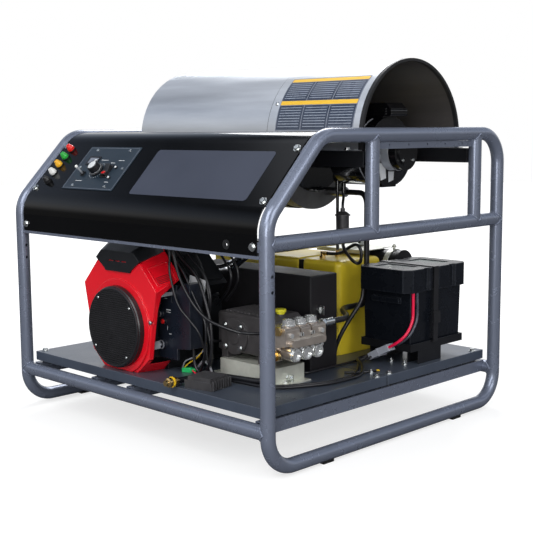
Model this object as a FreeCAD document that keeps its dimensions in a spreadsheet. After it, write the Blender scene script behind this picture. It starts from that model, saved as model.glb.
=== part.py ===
import FreeCAD, Part
import math
import os
import re
import Sketcher
from FreeCAD import Matrix, Placement, Rotation, Vector

# Hot water pressure washer on a skid: two bent tube side frames carry a floating deck
# with engine, belt driven triplex pump, fuel tank and battery, and above them a coil
# drum with its burner under an arched hood. Millimetres, +Z up, front towards -Y.
# The origin is on the ground under the middle of the frame.

os.makedirs("parts", exist_ok=True)
doc = FreeCAD.newDocument("pressure_washer")
sheet = doc.addObject("Spreadsheet::Sheet", "Sizes")
nodes = []


# Named sizes, one group for each piece of the machine

SIZES = {
    # Frame tube and the outline of a side frame
    "tube_radius": 19.05,
    "tube_wall": 2.6,
    "bend_radius": 85,
    "frame_half_width": 529,
    "frame_half_depth": 495.5,
    "foot_height": 3,
    "top_rail_height": 836,
    "mid_rail_height": 580,
    "slope_angle": 46,
    "slope_foot_height": 636.5,
    "post_front": -101.5,
    "post_rear": 374.5,
    "cross_tube_height": 117.6,
    "upright_hole_radius": 4.5,
    "upright_hole_low": 467,
    "upright_hole_pitch": 38,
    "foot_length": 40,
    "foot_width": 26,
    "foot_place": 286,
    # Bars welded between the tubes
    "base_rail_width": 25,
    "base_rail_height": 34,
    "base_rail_bottom": 105,
    "base_rail_wall": 2.5,
    "inner_rail_left": -205,
    "inner_rail_right": -40,
    "beam_height": 42,
    "beam_depth": 40,
    "beam_wall": 3,
    "beam_top": 794,
    "strip_thickness": 4,
    "strip_height": 19,
    "strip_hole_radius": 3,
    "strip_hole_pitch": 84,
    "lip_bar_height": 8,
    "lip_bar_depth": 22,
    "tab_thickness": 3,
    "tab_reach": 30,
    "tab_height": 26,
    # Deck plates, their rubber mounts and bolts
    "deck_half_width": 500.7,
    "deck_half_depth": 480.8,
    "deck_top": 172,
    "deck_sheet": 3,
    "deck_fold": 27,
    "deck_gap_middle": 5.5,
    "deck_gap": 6,
    "mount_radius": 9.2,
    "bolt_radius": 4,
    "bolt_clearance": 0.5,
    "bolt_head_radius": 7.5,
    "bolt_head_height": 5.5,
    # Control panel and what it carries, on a slope with its own up direction
    "panel_offset": 10,
    "panel_sheet": 2.5,
    "panel_side_gap": 5,
    "panel_back": -112,
    "panel_bolt_gap": 14,
    "panel_bolt_low": 51,
    "panel_bolt_high": 224,
    "panel_bolt_front": 573,
    "plate_place": -235,
    "plate_middle": 137,
    "plate_width": 244,
    "plate_length": 166,
    "plate_sheet": 2,
    "plate_margin": 9,
    "plate_screw_side": 77.5,
    "plate_screw_rise": 69,
    "plate_screw_reach": 101.5,
    "nozzle_place": -453,
    "nozzle_first": 79,
    "nozzle_pitch": 32.5,
    "nozzle_radius": 11,
    "nozzle_stem_radius": 6.5,
    "nozzle_stem_length": 28,
    "nozzle_head_length": 18,
    "grommet_wall": 3,
    "grommet_lip": 2.5,
    "fit_clearance": 0.3,
    "knob_place": -243,
    "knob_rise": 126,
    "knob_radius": 23,
    "knob_height": 26,
    "dial_radius": 31,
    "shaft_radius": 4,
    "rocker_place": -196,
    "rocker_rise": 125,
    "rocker_width": 21,
    "rocker_length": 40,
    "rocker_depth": 14,
    "rocker_play": 1,
    "bezel_rim": 4,
    "bezel_height": 3,
    "meter_place": -296,
    "meter_rise": 164,
    "meter_width": 44,
    "meter_length": 24,
    "toggle_place": -300,
    "toggle_rise": 112,
    "toggle_length": 34,
    "toggle_radius": 4,
    "lamp_place": -165,
    "lamp_low": 101,
    "lamp_high": 140,
    "lamp_radius": 4,
    "round_hole_place": 400,
    "round_hole_radius": 9,
    # Arched hood over the coil drum
    "hood_radius": 222,
    "hood_sheet": 2,
    "hood_axis_height": 820.6,
    "hood_left": -455,
    "hood_right": 479,
    "hood_seam": 126,
    "hood_overlap": 35,
    "hood_flange": 26,
    "trim_width": 12,
    "trim_wall": 3,
    "louvre_first": -428,
    "louvre_pitch": 16,
    "louvre_width": 6,
    # Coil drum, heating coil and burner on one axis along X
    "drum_radius": 175,
    "drum_wall": 2,
    "drum_axis_height": 787,
    "drum_left": -430,
    "drum_right": 112,
    "drum_strap_width": 40,
    "coil_radius": 126,
    "coil_tube_radius": 13,
    "coil_pitch": 56,
    "coil_turns": 7,
    "coil_start": -360,
    "coil_lead": 60,
    "coil_stub": 40,
    "burner_flange_radius": 125,
    "burner_flange_thickness": 6,
    "blast_tube_radius": 52,
    "blower_radius": 97,
    "blower_left": 250,
    "blower_right": 398,
    "blower_wall": 4,
    "fan_radius": 80,
    "fan_length": 70,
    "fan_blades": 14,
    "blade_thickness": 2,
    "motor_radius": 52,
    "motor_length": 56,
    "motor_shaft_radius": 6,
    "igniter_width": 98,
    "igniter_depth": 76,
    "igniter_height": 37,
    # Fuel filter and fuel tank
    "filter_radius": 19,
    "filter_length": 86,
    "filter_top": 610,
    "filter_place": 252,
    "filter_back": 104,
    "tank_left": -320,
    "tank_right": 235,
    "tank_front": 104.5,
    "tank_depth": 208,
    "tank_height": 286,
    "tank_round": 20,
    "strap_place": 81,
    "strap_width": 22,
    "strap_thickness": 2,
    "groove_depth": 8,
    "cap_place": -240,
    "cap_radius": 40,
    "cap_height": 26,
    # Engine, crankshaft axis along Y
    "crank_place": -110,
    "crank_height": 297,
    "crank_radius": 14,
    "shroud_front": -450,
    "shroud_depth": 82,
    "shroud_wall": 3,
    "screen_radius": 117,
    "ring_width": 20,
    "flywheel_radius": 96,
    "vane_height": 24,
    "vane_count": 16,
    "block_half_width": 105,
    "block_front": -360,
    "block_rear": -140,
    "barrel_radius": 52,
    "barrel_start": 92,
    "barrel_length": 92,
    "fin_depth": 9,
    "head_length": 44,
    "cylinder_offset": 26,
    "silencer_radius": 46,
    "silencer_left": 30,
    "silencer_height": 426,
    "exhaust_radius": 16,
    # Belt drive, pump axis along Y
    "pump_place": 190,
    "pump_axis_height": 284,
    "belt_middle": -50,
    "belt_width": 13,
    "belt_pitch": 19,
    "belt_depth": 9,
    "drive_pulley_radius": 46,
    "pump_pulley_radius": 104,
    "guard_left": -180,
    "guard_right": 317,
    "guard_front": -108.5,
    "guard_rear": 5,
    "guard_height": 272,
    "guard_sheet": 2,
    # Triplex pump
    "case_left": 118,
    "case_right": 322,
    "case_front": -279,
    "case_depth": 136,
    "case_bottom": 238,
    "case_top": 348,
    "cover_radius": 51,
    "pump_head_front": -298.5,
    "pump_head_depth": 158,
    "pump_head_right": 402,
    "pump_head_bottom": 236,
    "pump_head_top": 338,
    "plunger_pitch": 43,
    "plunger_middle": -219.5,
    "top_cap_place": 378,
    "valve_cap_radius": 17,
    "valve_cap_height": 15,
    "low_cap_height": 258,
    "oil_cap_radius": 15,
    "bracket_left": 141,
    "bracket_right": 358,
    "bracket_front": -292,
    "bracket_depth": 112,
    "bracket_height": 46,
    "bracket_sheet": 4,
    # Battery and its tray
    "tray_right": 480,
    "tray_front": 139.5,
    "tray_width": 184,
    "tray_depth": 257,
    "tray_floor": 212,
    "tray_lip": 20,
    "tray_sheet": 2.5,
    "riser_front": 179,
    "riser_depth": 111,
    "box_width": 172,
    "box_depth": 246,
    "box_height": 170,
    "box_wall": 3,
    "box_draft": 6,
    "lid_width": 194,
    "lid_depth": 300,
    "lid_height": 67,
    "battery_gap": 4,
    "battery_height": 150,
}

for row, (name, value) in enumerate(SIZES.items(), 1):
    sheet.set(f"A{row}", name)
    sheet.set(f"B{row}", str(value))
    sheet.setAlias(f"B{row}", name)
sheet.recompute()


def expand(text):
    """Puts the sheet's name before each size, so that an expression can be bound to it."""
    return re.sub(r"[a-z][a-z_0-9]*", lambda m: "Sizes." + m[0] if m[0] in SIZES else m[0], str(text))


def number(text):
    return float(sheet.evalExpression(str(text)))


# Building with bound sizes

def bind(thing, **sizes):
    for name, text in sizes.items():
        thing.setExpression(name, expand(text))
    return thing


def place(thing, x="0", y="0", z="0", axis=None, angle="0"):
    if axis:
        thing.Placement = Placement(Vector(), Rotation(Vector(*axis), number(angle)))
        thing.setExpression("Placement.Rotation.Angle", expand(angle))
    for letter, text in zip("xyz", (x, y, z)):
        thing.setExpression("Placement.Base." + letter, expand(text))
    return thing


TURNS = {"x": ((0, 1, 0), "90"), "y": ((-1, 0, 0), "90"), "z": (None, "0")}


def rod(radius, length, x="0", y="0", z="0", along="z"):
    thing = doc.addObject("Part::Cylinder", "rod")
    axis, angle = TURNS[along]
    return place(bind(thing, Radius=radius, Height=length), x, y, z, axis, angle)


def block(width, depth, height, x="0", y="0", z="0"):
    thing = doc.addObject("Part::Box", "block")
    return place(bind(thing, Length=width, Width=depth, Height=height), x, y, z)


def hexagon(radius, height, x="0", y="0", z="0", along="z"):
    thing = doc.addObject("Part::Prism", "hexagon")
    axis, angle = TURNS[along]
    return place(bind(thing, Circumradius=radius, Height=height), x, y, z, axis, angle)


def together(things):
    bundle = doc.addObject("Part::Compound", "bundle")
    bundle.Links = list(things)
    return bundle


def cut(base, *tools):
    result = doc.addObject("Part::Cut", "cut")
    result.Base = base
    result.Tool = tools[0] if len(tools) == 1 else together(tools)
    return result


def fuse(*things):
    result = doc.addObject("Part::MultiFuse", "fuse")
    result.Shapes = list(things)
    result.Refine = True
    return result


def node(label, *things):
    """Names a finished sub-part. Several solids of one kind share a node."""
    piece = things[0] if len(things) == 1 else together(things)
    piece.Label = label
    nodes.append(piece)
    return piece


def body():
    return doc.addObject("PartDesign::Body", "body")


def sketch(owner, plane, offset="0"):
    thing = owner.newObject("Sketcher::SketchObject", "sketch")
    support = next(f for f in owner.Origin.OriginFeatures if f.Role == plane)
    thing.AttachmentSupport = [(support, "")]
    thing.MapMode = "FlatFace"
    thing.setExpression("AttachmentOffset.Base.z", expand(offset))
    return thing


def outline(drawing, corners):
    """A closed outline whose every corner is held by two bound distances."""
    spots = [(number(x), number(y)) for x, y in corners]
    first = drawing.GeometryCount
    count = len(spots)
    for i, spot in enumerate(spots):
        drawing.addGeometry(Part.LineSegment(Vector(*spot, 0), Vector(*spots[(i + 1) % count], 0)))
    for i in range(count):
        after = first + (i + 1) % count
        drawing.addConstraint(Sketcher.Constraint("Coincident", first + i, 2, after, 1))
    for i, texts in enumerate(corners):
        for kind, text, spot in zip(("DistanceX", "DistanceY"), texts, spots[i]):
            held = drawing.addConstraint(Sketcher.Constraint(kind, -1, 1, first + i, 1, spot))
            drawing.setExpression(f"Constraints[{held}]", expand(text))


def feature(owner, kind, profile, **sizes):
    made = owner.newObject("PartDesign::" + kind, kind.lower())
    made.Profile = profile
    bind(made, **sizes)
    doc.recompute()
    return made


def pad(owner, plane, corners, length, offset="0", both_ways=False):
    drawing = sketch(owner, plane, offset)
    outline(drawing, corners)
    made = feature(owner, "Pad", drawing, Length=length)
    if both_ways:
        made.SideType = "Symmetric"
    return made


def turned(corners):
    """A body turned about its own Z axis from (radius, height) corners."""
    owner = body()
    drawing = sketch(owner, "XZ_Plane")
    outline(drawing, corners)
    turn = feature(owner, "Revolution", drawing)
    turn.ReferenceAxis = (drawing, ["V_Axis"])
    doc.recompute()
    return owner


def round_edges(owner, radius, chosen):
    """Fillets the edges of a body's last feature that pass the test."""
    doc.recompute()
    base = owner.Tip
    found = [f"Edge{i + 1}" for i, edge in enumerate(base.Shape.Edges) if chosen(edge)]
    made = owner.newObject("PartDesign::Fillet", "fillet")
    made.Base = (base, found)
    owner.Tip = made
    bind(made, Radius=radius)
    doc.recompute()


def runs_along(axis):
    def test(edge):
        if edge.Curve.TypeId != "Part::GeomLine":
            return False
        return abs(abs(edge.Curve.Direction.dot(axis)) - 1) < 1e-6
    return test


def rectangle(width, depth, x="0", y="0"):
    """Corners of a rectangle centred on a point."""
    return [(f"{x} + {i} * ({width}) / 2", f"{y} + {j} * ({depth}) / 2")
            for i, j in ((-1, -1), (1, -1), (1, 1), (-1, 1))]


def tube_path(points, radius):
    """Straight runs joined by tangent arcs of one radius, or of one radius per corner."""
    edges = []
    start = points[0]
    inner = points[1:-1]
    radii = radius if isinstance(radius, list) else [radius] * len(inner)
    for i, corner in enumerate(inner):
        back = (points[i] - corner).normalize()
        on = (points[i + 2] - corner).normalize()
        half = (math.pi - back.getAngle(on)) / 2
        reach = radii[i] * math.tan(half)
        into, out = corner + back * reach, corner + on * reach
        middle = corner + (back + on).normalize() * (radii[i] / math.cos(half) - radii[i])
        if (into - start).Length > 1e-6:
            edges.append(Part.LineSegment(start, into).toShape())
        edges.append(Part.Arc(into, middle, out).toShape())
        start = out
    edges.append(Part.LineSegment(start, points[-1]).toShape())
    return Part.Wire(edges)


def swept(wire, radius):
    start, ahead = wire.Edges[0].valueAt(wire.Edges[0].FirstParameter), wire.Edges[0].tangentAt(0)
    profile = Part.Wire(Part.makeCircle(radius, start, ahead))
    return wire.makePipeShell([profile], True, False)


def shaped(shape):
    thing = doc.addObject("Part::Feature", "shaped")
    thing.Shape = shape
    return thing


def tube(length, x, y, z, along):
    return cut(rod("tube_radius", length, x, y, z, along),
               rod("tube_radius - tube_wall", length, x, y, z, along))


def on_slope(thing, x, rise, out="panel_offset"):
    """Sets a piece on the slope: its X across, its Y up the slope and its Z outwards."""
    y = f"-frame_half_depth + ({rise}) * cos(slope_angle) - ({out}) * sin(slope_angle)"
    z = f"slope_foot_height + ({rise}) * sin(slope_angle) + ({out}) * cos(slope_angle)"
    return place(thing, x, y, z, (1, 0, 0), "slope_angle")


def slope_points(offset, ends):
    """The bent line of the side frames' front, moved outwards, in the plane of X = 0."""
    depth, foot = number("frame_half_depth"), number("slope_foot_height")
    top, angle = number("top_rail_height"), math.radians(number("slope_angle"))
    low = Vector(0, -depth - offset, foot + offset * (1 / math.cos(angle) - math.tan(angle)))
    high = Vector(0, -depth + (top - foot) / math.tan(angle) - offset * math.tan(angle / 2), top + offset)
    return [Vector(0, -depth - offset, ends[0]), low, high, Vector(0, ends[1], top + offset)]


# Side frames, each one closed loop of bent tube

SIDES = ("-", "")
COPE = "tube_radius + fit_clearance"


def loop_shape(radius):
    depth, bottom = number("frame_half_depth"), number("foot_height + tube_radius")
    line = slope_points(0, (bottom, 0))
    start = Vector(0, 0, bottom)
    points = [start, line[0], line[1], line[2], Vector(0, depth, line[3].z), Vector(0, depth, bottom), start]
    return swept(tube_path(points, number("bend_radius")), number(radius))


for side, label in zip(SIDES, ("side_frame_left", "side_frame_right")):
    loop = place(shaped(loop_shape("tube_radius").cut(loop_shape("tube_radius - tube_wall"))),
                 f"{side}frame_half_width")
    drills = [rod("upright_hole_radius", "60", f"{side}frame_half_width - 30", "-frame_half_depth",
                  f"upright_hole_low + {i} * upright_hole_pitch", "x") for i in (0, 1)]
    node(label, cut(loop, *drills))


def upright_copes(z, height):
    return [rod(COPE, height, f"{i}frame_half_width", f"{j}frame_half_depth", z)
            for i in SIDES for j in SIDES]


# Mid rails, posts and cross tubes, their ends cut to a saddle round the tube they meet

mid_rails = []
posts = []
for side in SIDES:
    rail = tube("2 * frame_half_depth", f"{side}frame_half_width", "-frame_half_depth", "mid_rail_height",
                "y")
    mid_rails.append(cut(rail, *upright_copes("mid_rail_height - 40", "80")))
    for where in ("post_front", "post_rear"):
        post = tube("top_rail_height - mid_rail_height", f"{side}frame_half_width", where, "mid_rail_height",
                    "z")
        saddles = [rod(COPE, "80", f"{side}frame_half_width", f"{where} - 40", z, "y")
                   for z in ("mid_rail_height", "top_rail_height")]
        posts.append(cut(post, *saddles))
node("rails_and_posts", *mid_rails, *posts)

base = []
for side in SIDES:
    cross = tube("2 * frame_half_width", "-frame_half_width", f"{side}frame_half_depth", "cross_tube_height",
                 "x")
    base.append(cut(cross, *upright_copes("cross_tube_height - 40", "80")))
for left in ("-deck_half_width", "inner_rail_left", "inner_rail_right", "deck_half_width - base_rail_width"):
    outer = block("base_rail_width", "2 * frame_half_depth - 20", "base_rail_height",
                  left, "-frame_half_depth + 10", "base_rail_bottom")
    inner = block("base_rail_width - 2 * base_rail_wall", "2 * frame_half_depth",
                  "base_rail_height - 2 * base_rail_wall",
                  f"{left} + base_rail_wall", "-frame_half_depth", "base_rail_bottom + base_rail_wall")
    ends = [rod(COPE, "base_rail_width + 10", f"{left} - 5", f"{side}frame_half_depth", "cross_tube_height",
                "x")
            for side in SIDES]
    base.append(cut(outer, inner, *ends))
lip_bar = block("2 * frame_half_width", "lip_bar_depth", "lip_bar_height", "-frame_half_width",
                "-frame_half_depth - panel_offset", "panel_bolt_front - 21 - lip_bar_height")
base.append(cut(lip_bar, *upright_copes("mid_rail_height - 60", "80")))
node("cross_rails", *base)

# Black crossmembers that carry the hood and the drum, with a cradle strap at each end

POSTS = ("post_front", "post_rear")
beams = []
for where in POSTS:
    outer = block("2 * frame_half_width - 28", "beam_depth", "beam_height",
                  "-frame_half_width + 14", f"{where} - beam_depth / 2", "beam_top - beam_height")
    inner = block("2 * frame_half_width", "beam_depth - 2 * beam_wall", "beam_height - 2 * beam_wall",
                  "-frame_half_width", f"{where} - beam_depth / 2 + beam_wall",
                  "beam_top - beam_height + beam_wall")
    saddles = [rod(COPE, "80", f"{side}frame_half_width", where, "beam_top - 60") for side in SIDES]
    beams.append(cut(outer, inner, *saddles))

drum_middle = "(post_front + post_rear) / 2"
cradles = []
for x in ("drum_left + 80", "drum_right - 100"):
    ring = cut(rod("drum_radius + fit_clearance + tab_thickness", "drum_strap_width", x, drum_middle,
                   "drum_axis_height", "x"),
               rod("drum_radius + fit_clearance", "drum_strap_width", x, drum_middle, "drum_axis_height",
                   "x"),
               block("drum_strap_width", "400", "200", x, f"{drum_middle} - 200", "drum_axis_height"))
    ears = [block("drum_strap_width",
                  "(post_rear - post_front - beam_depth) / 2 - drum_radius - fit_clearance",
                  "tab_thickness", x, y, "drum_axis_height - tab_thickness")
            for y in ("post_front + beam_depth / 2", f"{drum_middle} + drum_radius + fit_clearance")]
    cradles.append(fuse(ring, *ears))
node("crossmembers", *beams, *cradles)

strips = []
for side in SIDES:
    strip = block("strip_thickness", "post_rear - post_front", "strip_height",
                  f"{side}frame_half_width - strip_thickness / 2",
                  "post_front", "top_rail_height - 18 - strip_height")
    holes = [rod("strip_hole_radius", "20", f"{side}frame_half_width - 10",
                 f"post_front + 70 + {i} * strip_hole_pitch", "top_rail_height - 18 - strip_height / 2", "x")
             for i in range(5)]
    ends = [rod(COPE, "80", f"{side}frame_half_width", where, "top_rail_height - 70") for where in POSTS]
    top = rod("tube_radius + fit_clearance", "post_rear - post_front", f"{side}frame_half_width",
              "post_front", "top_rail_height", "y")
    strips.append(cut(strip, top, *holes, *ends))

# Deck: two folded plates on rubber mounts, which stand on the outer base rails

DECK_BOLTS = ("-deck_half_depth + 25", "-deck_gap_middle - 22", "deck_gap_middle + 22",
              "deck_half_depth - 40")
mount_x = "(deck_half_width - base_rail_width / 2)"
mount_base = "base_rail_bottom + base_rail_height"


def deck_plate(front, rear, bolts):
    outer = block("2 * deck_half_width", f"({rear}) - ({front})", "deck_fold", "-deck_half_width", front,
                  "deck_top - deck_fold")
    inner = block("2 * deck_half_width - 2 * deck_sheet", f"({rear}) - ({front}) - 2 * deck_sheet",
                  "deck_fold",
                  "-deck_half_width + deck_sheet", f"{front} + deck_sheet",
                  "deck_top - deck_fold - deck_sheet")
    holes = [rod("bolt_radius + bolt_clearance", "20", f"{side}{mount_x}", y, "deck_top - 10")
             for side in SIDES for y in bolts]
    return cut(outer, inner, *holes)


node("deck_front", deck_plate("-deck_half_depth", "deck_gap_middle - deck_gap / 2", DECK_BOLTS[:2]))
node("deck_rear", deck_plate("deck_gap_middle + deck_gap / 2", "deck_half_depth", DECK_BOLTS[2:]))

rubber = []
for side in SIDES:
    for y in DECK_BOLTS:
        pad_rubber = rod("mount_radius", f"deck_top - deck_sheet - ({mount_base})", f"{side}{mount_x}", y,
                         mount_base)
        bore = rod("bolt_radius + fit_clearance", "60", f"{side}{mount_x}", y, mount_base)
        rubber.append(cut(pad_rubber, bore))
    for end in SIDES:
        shoe = block("foot_width", "foot_length", "foot_height + tube_radius / 2",
                     f"{side}frame_half_width - foot_width / 2",
                     f"{end}foot_place - foot_length / 2", "0")
        seat = rod(COPE, "foot_length + 10", f"{side}frame_half_width",
                   f"{end}foot_place - foot_length / 2 - 5",
                   "foot_height + tube_radius", "y")
        rubber.append(cut(shoe, seat))

doc.recompute()


# Control panel: one bent sheet from the lip bar up the slope to the flat on top

def bent_sheet():
    """The panel's profile between two offsets of the slope line, drawn out along X."""
    ends = (number("panel_bolt_front - 21"), number("panel_back"))
    bend, offset = number("bend_radius"), number("panel_offset")
    skins = [tube_path(slope_points(offset - inward, ends), bend + offset - inward)
             for inward in (0, number("panel_sheet"))]
    rims = [Part.LineSegment(skins[0].Vertexes[i].Point, skins[1].Vertexes[i].Point).toShape()
            for i in (0, -1)]
    profile = Part.Wire(Part.__sortEdges__(skins[0].Edges + skins[1].Edges + rims))
    width = number("2 * (frame_half_width - tube_radius - panel_side_gap)")
    return Part.Face(profile).extrude(Vector(width, 0, 0))


panel_edge = "(frame_half_width - tube_radius - panel_side_gap)"
bolt_side = f"({panel_edge} - panel_bolt_gap)"
NOZZLE_RISES = [f"nozzle_first + {i} * nozzle_pitch" for i in range(5)]

panel = place(shaped(bent_sheet()), f"-{panel_edge}")
openings = [on_slope(rod("nozzle_stem_radius + grommet_wall + fit_clearance", "20"), "nozzle_place", rise,
                     "panel_offset - 15")
            for rise in NOZZLE_RISES]
openings.append(on_slope(block("plate_width - 2 * plate_margin", "plate_length - 2 * plate_margin", "20"),
                         "plate_place - plate_width / 2 + plate_margin",
                         "plate_middle - plate_length / 2 + plate_margin", "panel_offset - 15"))
openings.append(rod("round_hole_radius", "20", "round_hole_place", "-frame_half_depth - 15",
                    "panel_bolt_front", "y"))
for side in SIDES:
    for rise in ("panel_bolt_low", "panel_bolt_high"):
        openings.append(on_slope(rod("bolt_radius + bolt_clearance", "20"), f"{side}{bolt_side}", rise,
                                 "panel_offset - 15"))
    openings.append(rod("bolt_radius + bolt_clearance", "20", f"{side}{bolt_side}", "-frame_half_depth - 15",
                        "panel_bolt_front", "y"))
node("control_panel", cut(panel, *openings))

# Tabs welded inside the tubes, behind each of the panel's bolts

tabs = []
inside = "(panel_offset - panel_sheet)"
for side in SIDES:
    start = "frame_half_width - tube_radius - tab_reach" if side == "" else "-frame_half_width"
    for rise in ("panel_bolt_low", "panel_bolt_high"):
        tab = block("tab_reach + tube_radius", "tab_height", "tab_thickness")
        hole = rod("bolt_radius + fit_clearance", "20", z="-10")
        tab.Placement.Base = Vector()
        place(tab, "0", "-tab_height / 2")
        reach = bolt_side + " - (frame_half_width - tube_radius - tab_reach)"
        place(hole, reach if side == "" else f"tab_reach + tube_radius - ({reach})", "0", "-10")
        saddle = rod(COPE, "80", "tab_reach + tube_radius" if side == "" else "0", "-40",
                     f"-{inside} + tab_thickness", "y")
        tabs.append(on_slope(cut(tab, hole, saddle), start, rise, f"{inside} - tab_thickness"))
    tab = block("tab_reach + tube_radius", "tab_thickness", "tab_height", start,
                f"-frame_half_depth - {inside}",
                "panel_bolt_front - tab_height / 2")
    hole = rod("bolt_radius + fit_clearance", "20", f"{side}{bolt_side}", "-frame_half_depth - 15",
               "panel_bolt_front", "y")
    saddle = rod(COPE, "60", f"{side}frame_half_width", "-frame_half_depth", "panel_bolt_front - 30")
    mid = rod(COPE, "60", f"{side}frame_half_width", "-frame_half_depth", "mid_rail_height", "y")
    tabs.append(cut(tab, hole, saddle, mid))
node("strips_and_tabs", *strips, *tabs)

# Control plate with its dial, and the instruments set into it

plate = block("plate_width", "plate_length", "plate_sheet", "-plate_width / 2", "-plate_length / 2")
dial = rod("dial_radius", "1", "knob_place - plate_place", "knob_rise - plate_middle", "plate_sheet")
rocker_at = ("rocker_place - plate_place", "rocker_rise - plate_middle")
toggle_at = ("toggle_place - plate_place", "toggle_rise - plate_middle")
meter_at = ("meter_place - plate_place", "meter_rise - plate_middle")
knob_at = ("knob_place - plate_place", "knob_rise - plate_middle")


def centred(width, length, height, at, z="0"):
    return block(width, length, height, f"{at[0]} - ({width}) / 2", f"{at[1]} - ({length}) / 2", z)


PLATE_SCREWS = [(f"{i} * plate_screw_side", f"{j} * plate_screw_rise") for i in (-1, 1) for j in (-1, 1)]
PLATE_SCREWS += [(f"{i} * plate_screw_reach", "0") for i in (-1, 1)]
plate_holes = [rod("bolt_radius / 2 + bolt_clearance", "20", x, y, "-10") for x, y in PLATE_SCREWS]
plate_holes.append(rod("shaft_radius + bolt_clearance", "20", *knob_at, "-10"))
plate_holes.append(centred("rocker_width + 4.6", "rocker_length + 4.6", "20", rocker_at, "-10"))
plate_holes.append(centred("meter_width + 0.6", "meter_length + 0.6", "20", meter_at, "-10"))
plate_holes.append(rod("toggle_radius + 4.3", "20", *toggle_at, "-10"))
plate_holes += [rod("lamp_radius + fit_clearance", "20", "lamp_place - plate_place", f"{z} - plate_middle",
                    "-10")
                for z in ("lamp_low", "lamp_high")]
plate = cut(fuse(plate, dial), *plate_holes)
node("control_plate", on_slope(plate, "plate_place", "plate_middle"))

stat = cut(centred("40", "40", "28", knob_at, "-28"), rod("shaft_radius + 0.05", "20", *knob_at, "-20"))
rocker_case = cut(fuse(centred("rocker_width + 4", "rocker_length + 4", "20", rocker_at, "-20 + plate_sheet"),
                       centred("rocker_width + 2 * bezel_rim", "rocker_length + 2 * bezel_rim",
                               "bezel_height",
                               rocker_at, "plate_sheet")),
                  centred("rocker_width + 2 * fit_clearance", "rocker_length + 2 * fit_clearance", "30",
                          rocker_at, "-16"),
                  rod("2.05", "60", f"{rocker_at[0]} - 30", rocker_at[1], "plate_sheet", "x"))
meter = fuse(centred("meter_width", "meter_length", "22", meter_at, "-18"),
             cut(centred("meter_width + 2 * bezel_rim", "meter_length + 2 * bezel_rim", "bezel_height",
                         meter_at, "plate_sheet"),
                 centred("meter_width - 3", "meter_length - 3", "bezel_height", meter_at, "plate_sheet + 2")))
bush = cut(fuse(rod("toggle_radius + 4", "24", *toggle_at, "-16"),
                hexagon("toggle_radius + 6", "3", *toggle_at, "plate_sheet")),
           rod("toggle_radius + 2.2", "30", *toggle_at, "-12"),
           rod("1.55", "60", f"{toggle_at[0]} - 30", toggle_at[1], "plate_sheet + 1", "x"))
lamps = [fuse(rod("lamp_radius", "14", "lamp_place - plate_place", f"{z} - plate_middle", "-8"),
              rod("lamp_radius + 1.5", "1.5", "lamp_place - plate_place", f"{z} - plate_middle",
                  "plate_sheet"))
         for z in ("lamp_low", "lamp_high")]
node("instruments", on_slope(together([stat, rocker_case, meter, bush, *lamps]), "plate_place",
                             "plate_middle"))

knob = body()
outline(sketch(knob, "XZ_Plane"), [("0", "fit_clearance"), ("knob_radius", "fit_clearance"),
                                   ("knob_radius", "6"),
                                   ("knob_radius * 0.82", "7"), ("knob_radius * 0.76", "knob_height"),
                                   ("0", "knob_height")])
turn = feature(knob, "Revolution", knob.Group[-1])
turn.ReferenceAxis = (knob.Group[-2], ["V_Axis"])
doc.recompute()
knob_piece = fuse(cut(knob, block("8", "knob_radius", "4", "-4", "knob_radius * 0.62", "knob_height - 4")),
                  rod("shaft_radius", "18", z="-18 + fit_clearance"))
node("thermostat_knob", on_slope(knob_piece, "knob_place", "knob_rise", "panel_offset + plate_sheet + 1"))

lever = body()
pad(lever, "YZ_Plane", [("-rocker_length / 2 + 3 * rocker_play", "-2"),
                        ("rocker_length / 2 - 3 * rocker_play", "-2"),
                        ("rocker_length / 2 - rocker_play", "rocker_depth"), ("0", "rocker_depth * 0.5"),
                        ("-rocker_length / 2 + rocker_play", "rocker_depth * 0.7")], "rocker_width",
    both_ways=True)
node("burner_rocker", on_slope(fuse(lever, rod("2", "rocker_width + 3", "-rocker_width / 2 - 1.5",
                                               along="x")),
                               "rocker_place", "rocker_rise", "panel_offset + plate_sheet"))

handle = turned([("0", "-7"), ("toggle_radius", "-5"), ("toggle_radius * 0.7", "2"),
                 ("toggle_radius", "toggle_length - 2"),
                 ("toggle_radius - 2", "toggle_length"), ("0", "toggle_length")])
node("toggle_lever", on_slope(fuse(handle, rod("1.5", "14", "-7", along="x")),
                              "toggle_place", "toggle_rise", "panel_offset + plate_sheet + 1"))

# Spray nozzles in rubber grommets, which hold them in the panel

trims = []
colours = ("black", "white", "yellow", "green", "red")
for colour, rise in zip(colours, NOZZLE_RISES):
    tip = turned([("0", "-nozzle_stem_length"), ("nozzle_stem_radius - 1.5", "-nozzle_stem_length"),
                  ("nozzle_stem_radius", "-nozzle_stem_length + 3"), ("nozzle_stem_radius", "0"),
                  ("nozzle_radius", "0"),
                  ("nozzle_radius", "6"), ("nozzle_radius * 0.6", "nozzle_head_length"),
                  ("2", "nozzle_head_length"),
                  ("2", "nozzle_head_length - 8"), ("0", "nozzle_head_length - 8")])
    node(f"nozzle_{colour}", on_slope(tip, "nozzle_place", rise, "panel_offset + grommet_lip + 0.1"))
    grommet = turned([("nozzle_stem_radius + 0.1", "-panel_sheet - grommet_lip"),
                      ("nozzle_stem_radius + grommet_wall * 2", "-panel_sheet - grommet_lip"),
                      ("nozzle_stem_radius + grommet_wall * 2", "-panel_sheet"),
                      ("nozzle_stem_radius + grommet_wall", "-panel_sheet"),
                      ("nozzle_stem_radius + grommet_wall", "0"),
                      ("nozzle_stem_radius + grommet_wall * 2", "0"),
                      ("nozzle_stem_radius + grommet_wall * 2", "grommet_lip"),
                      ("nozzle_stem_radius + 0.1", "grommet_lip")])
    trims.append(on_slope(grommet, "nozzle_place", rise))
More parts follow.
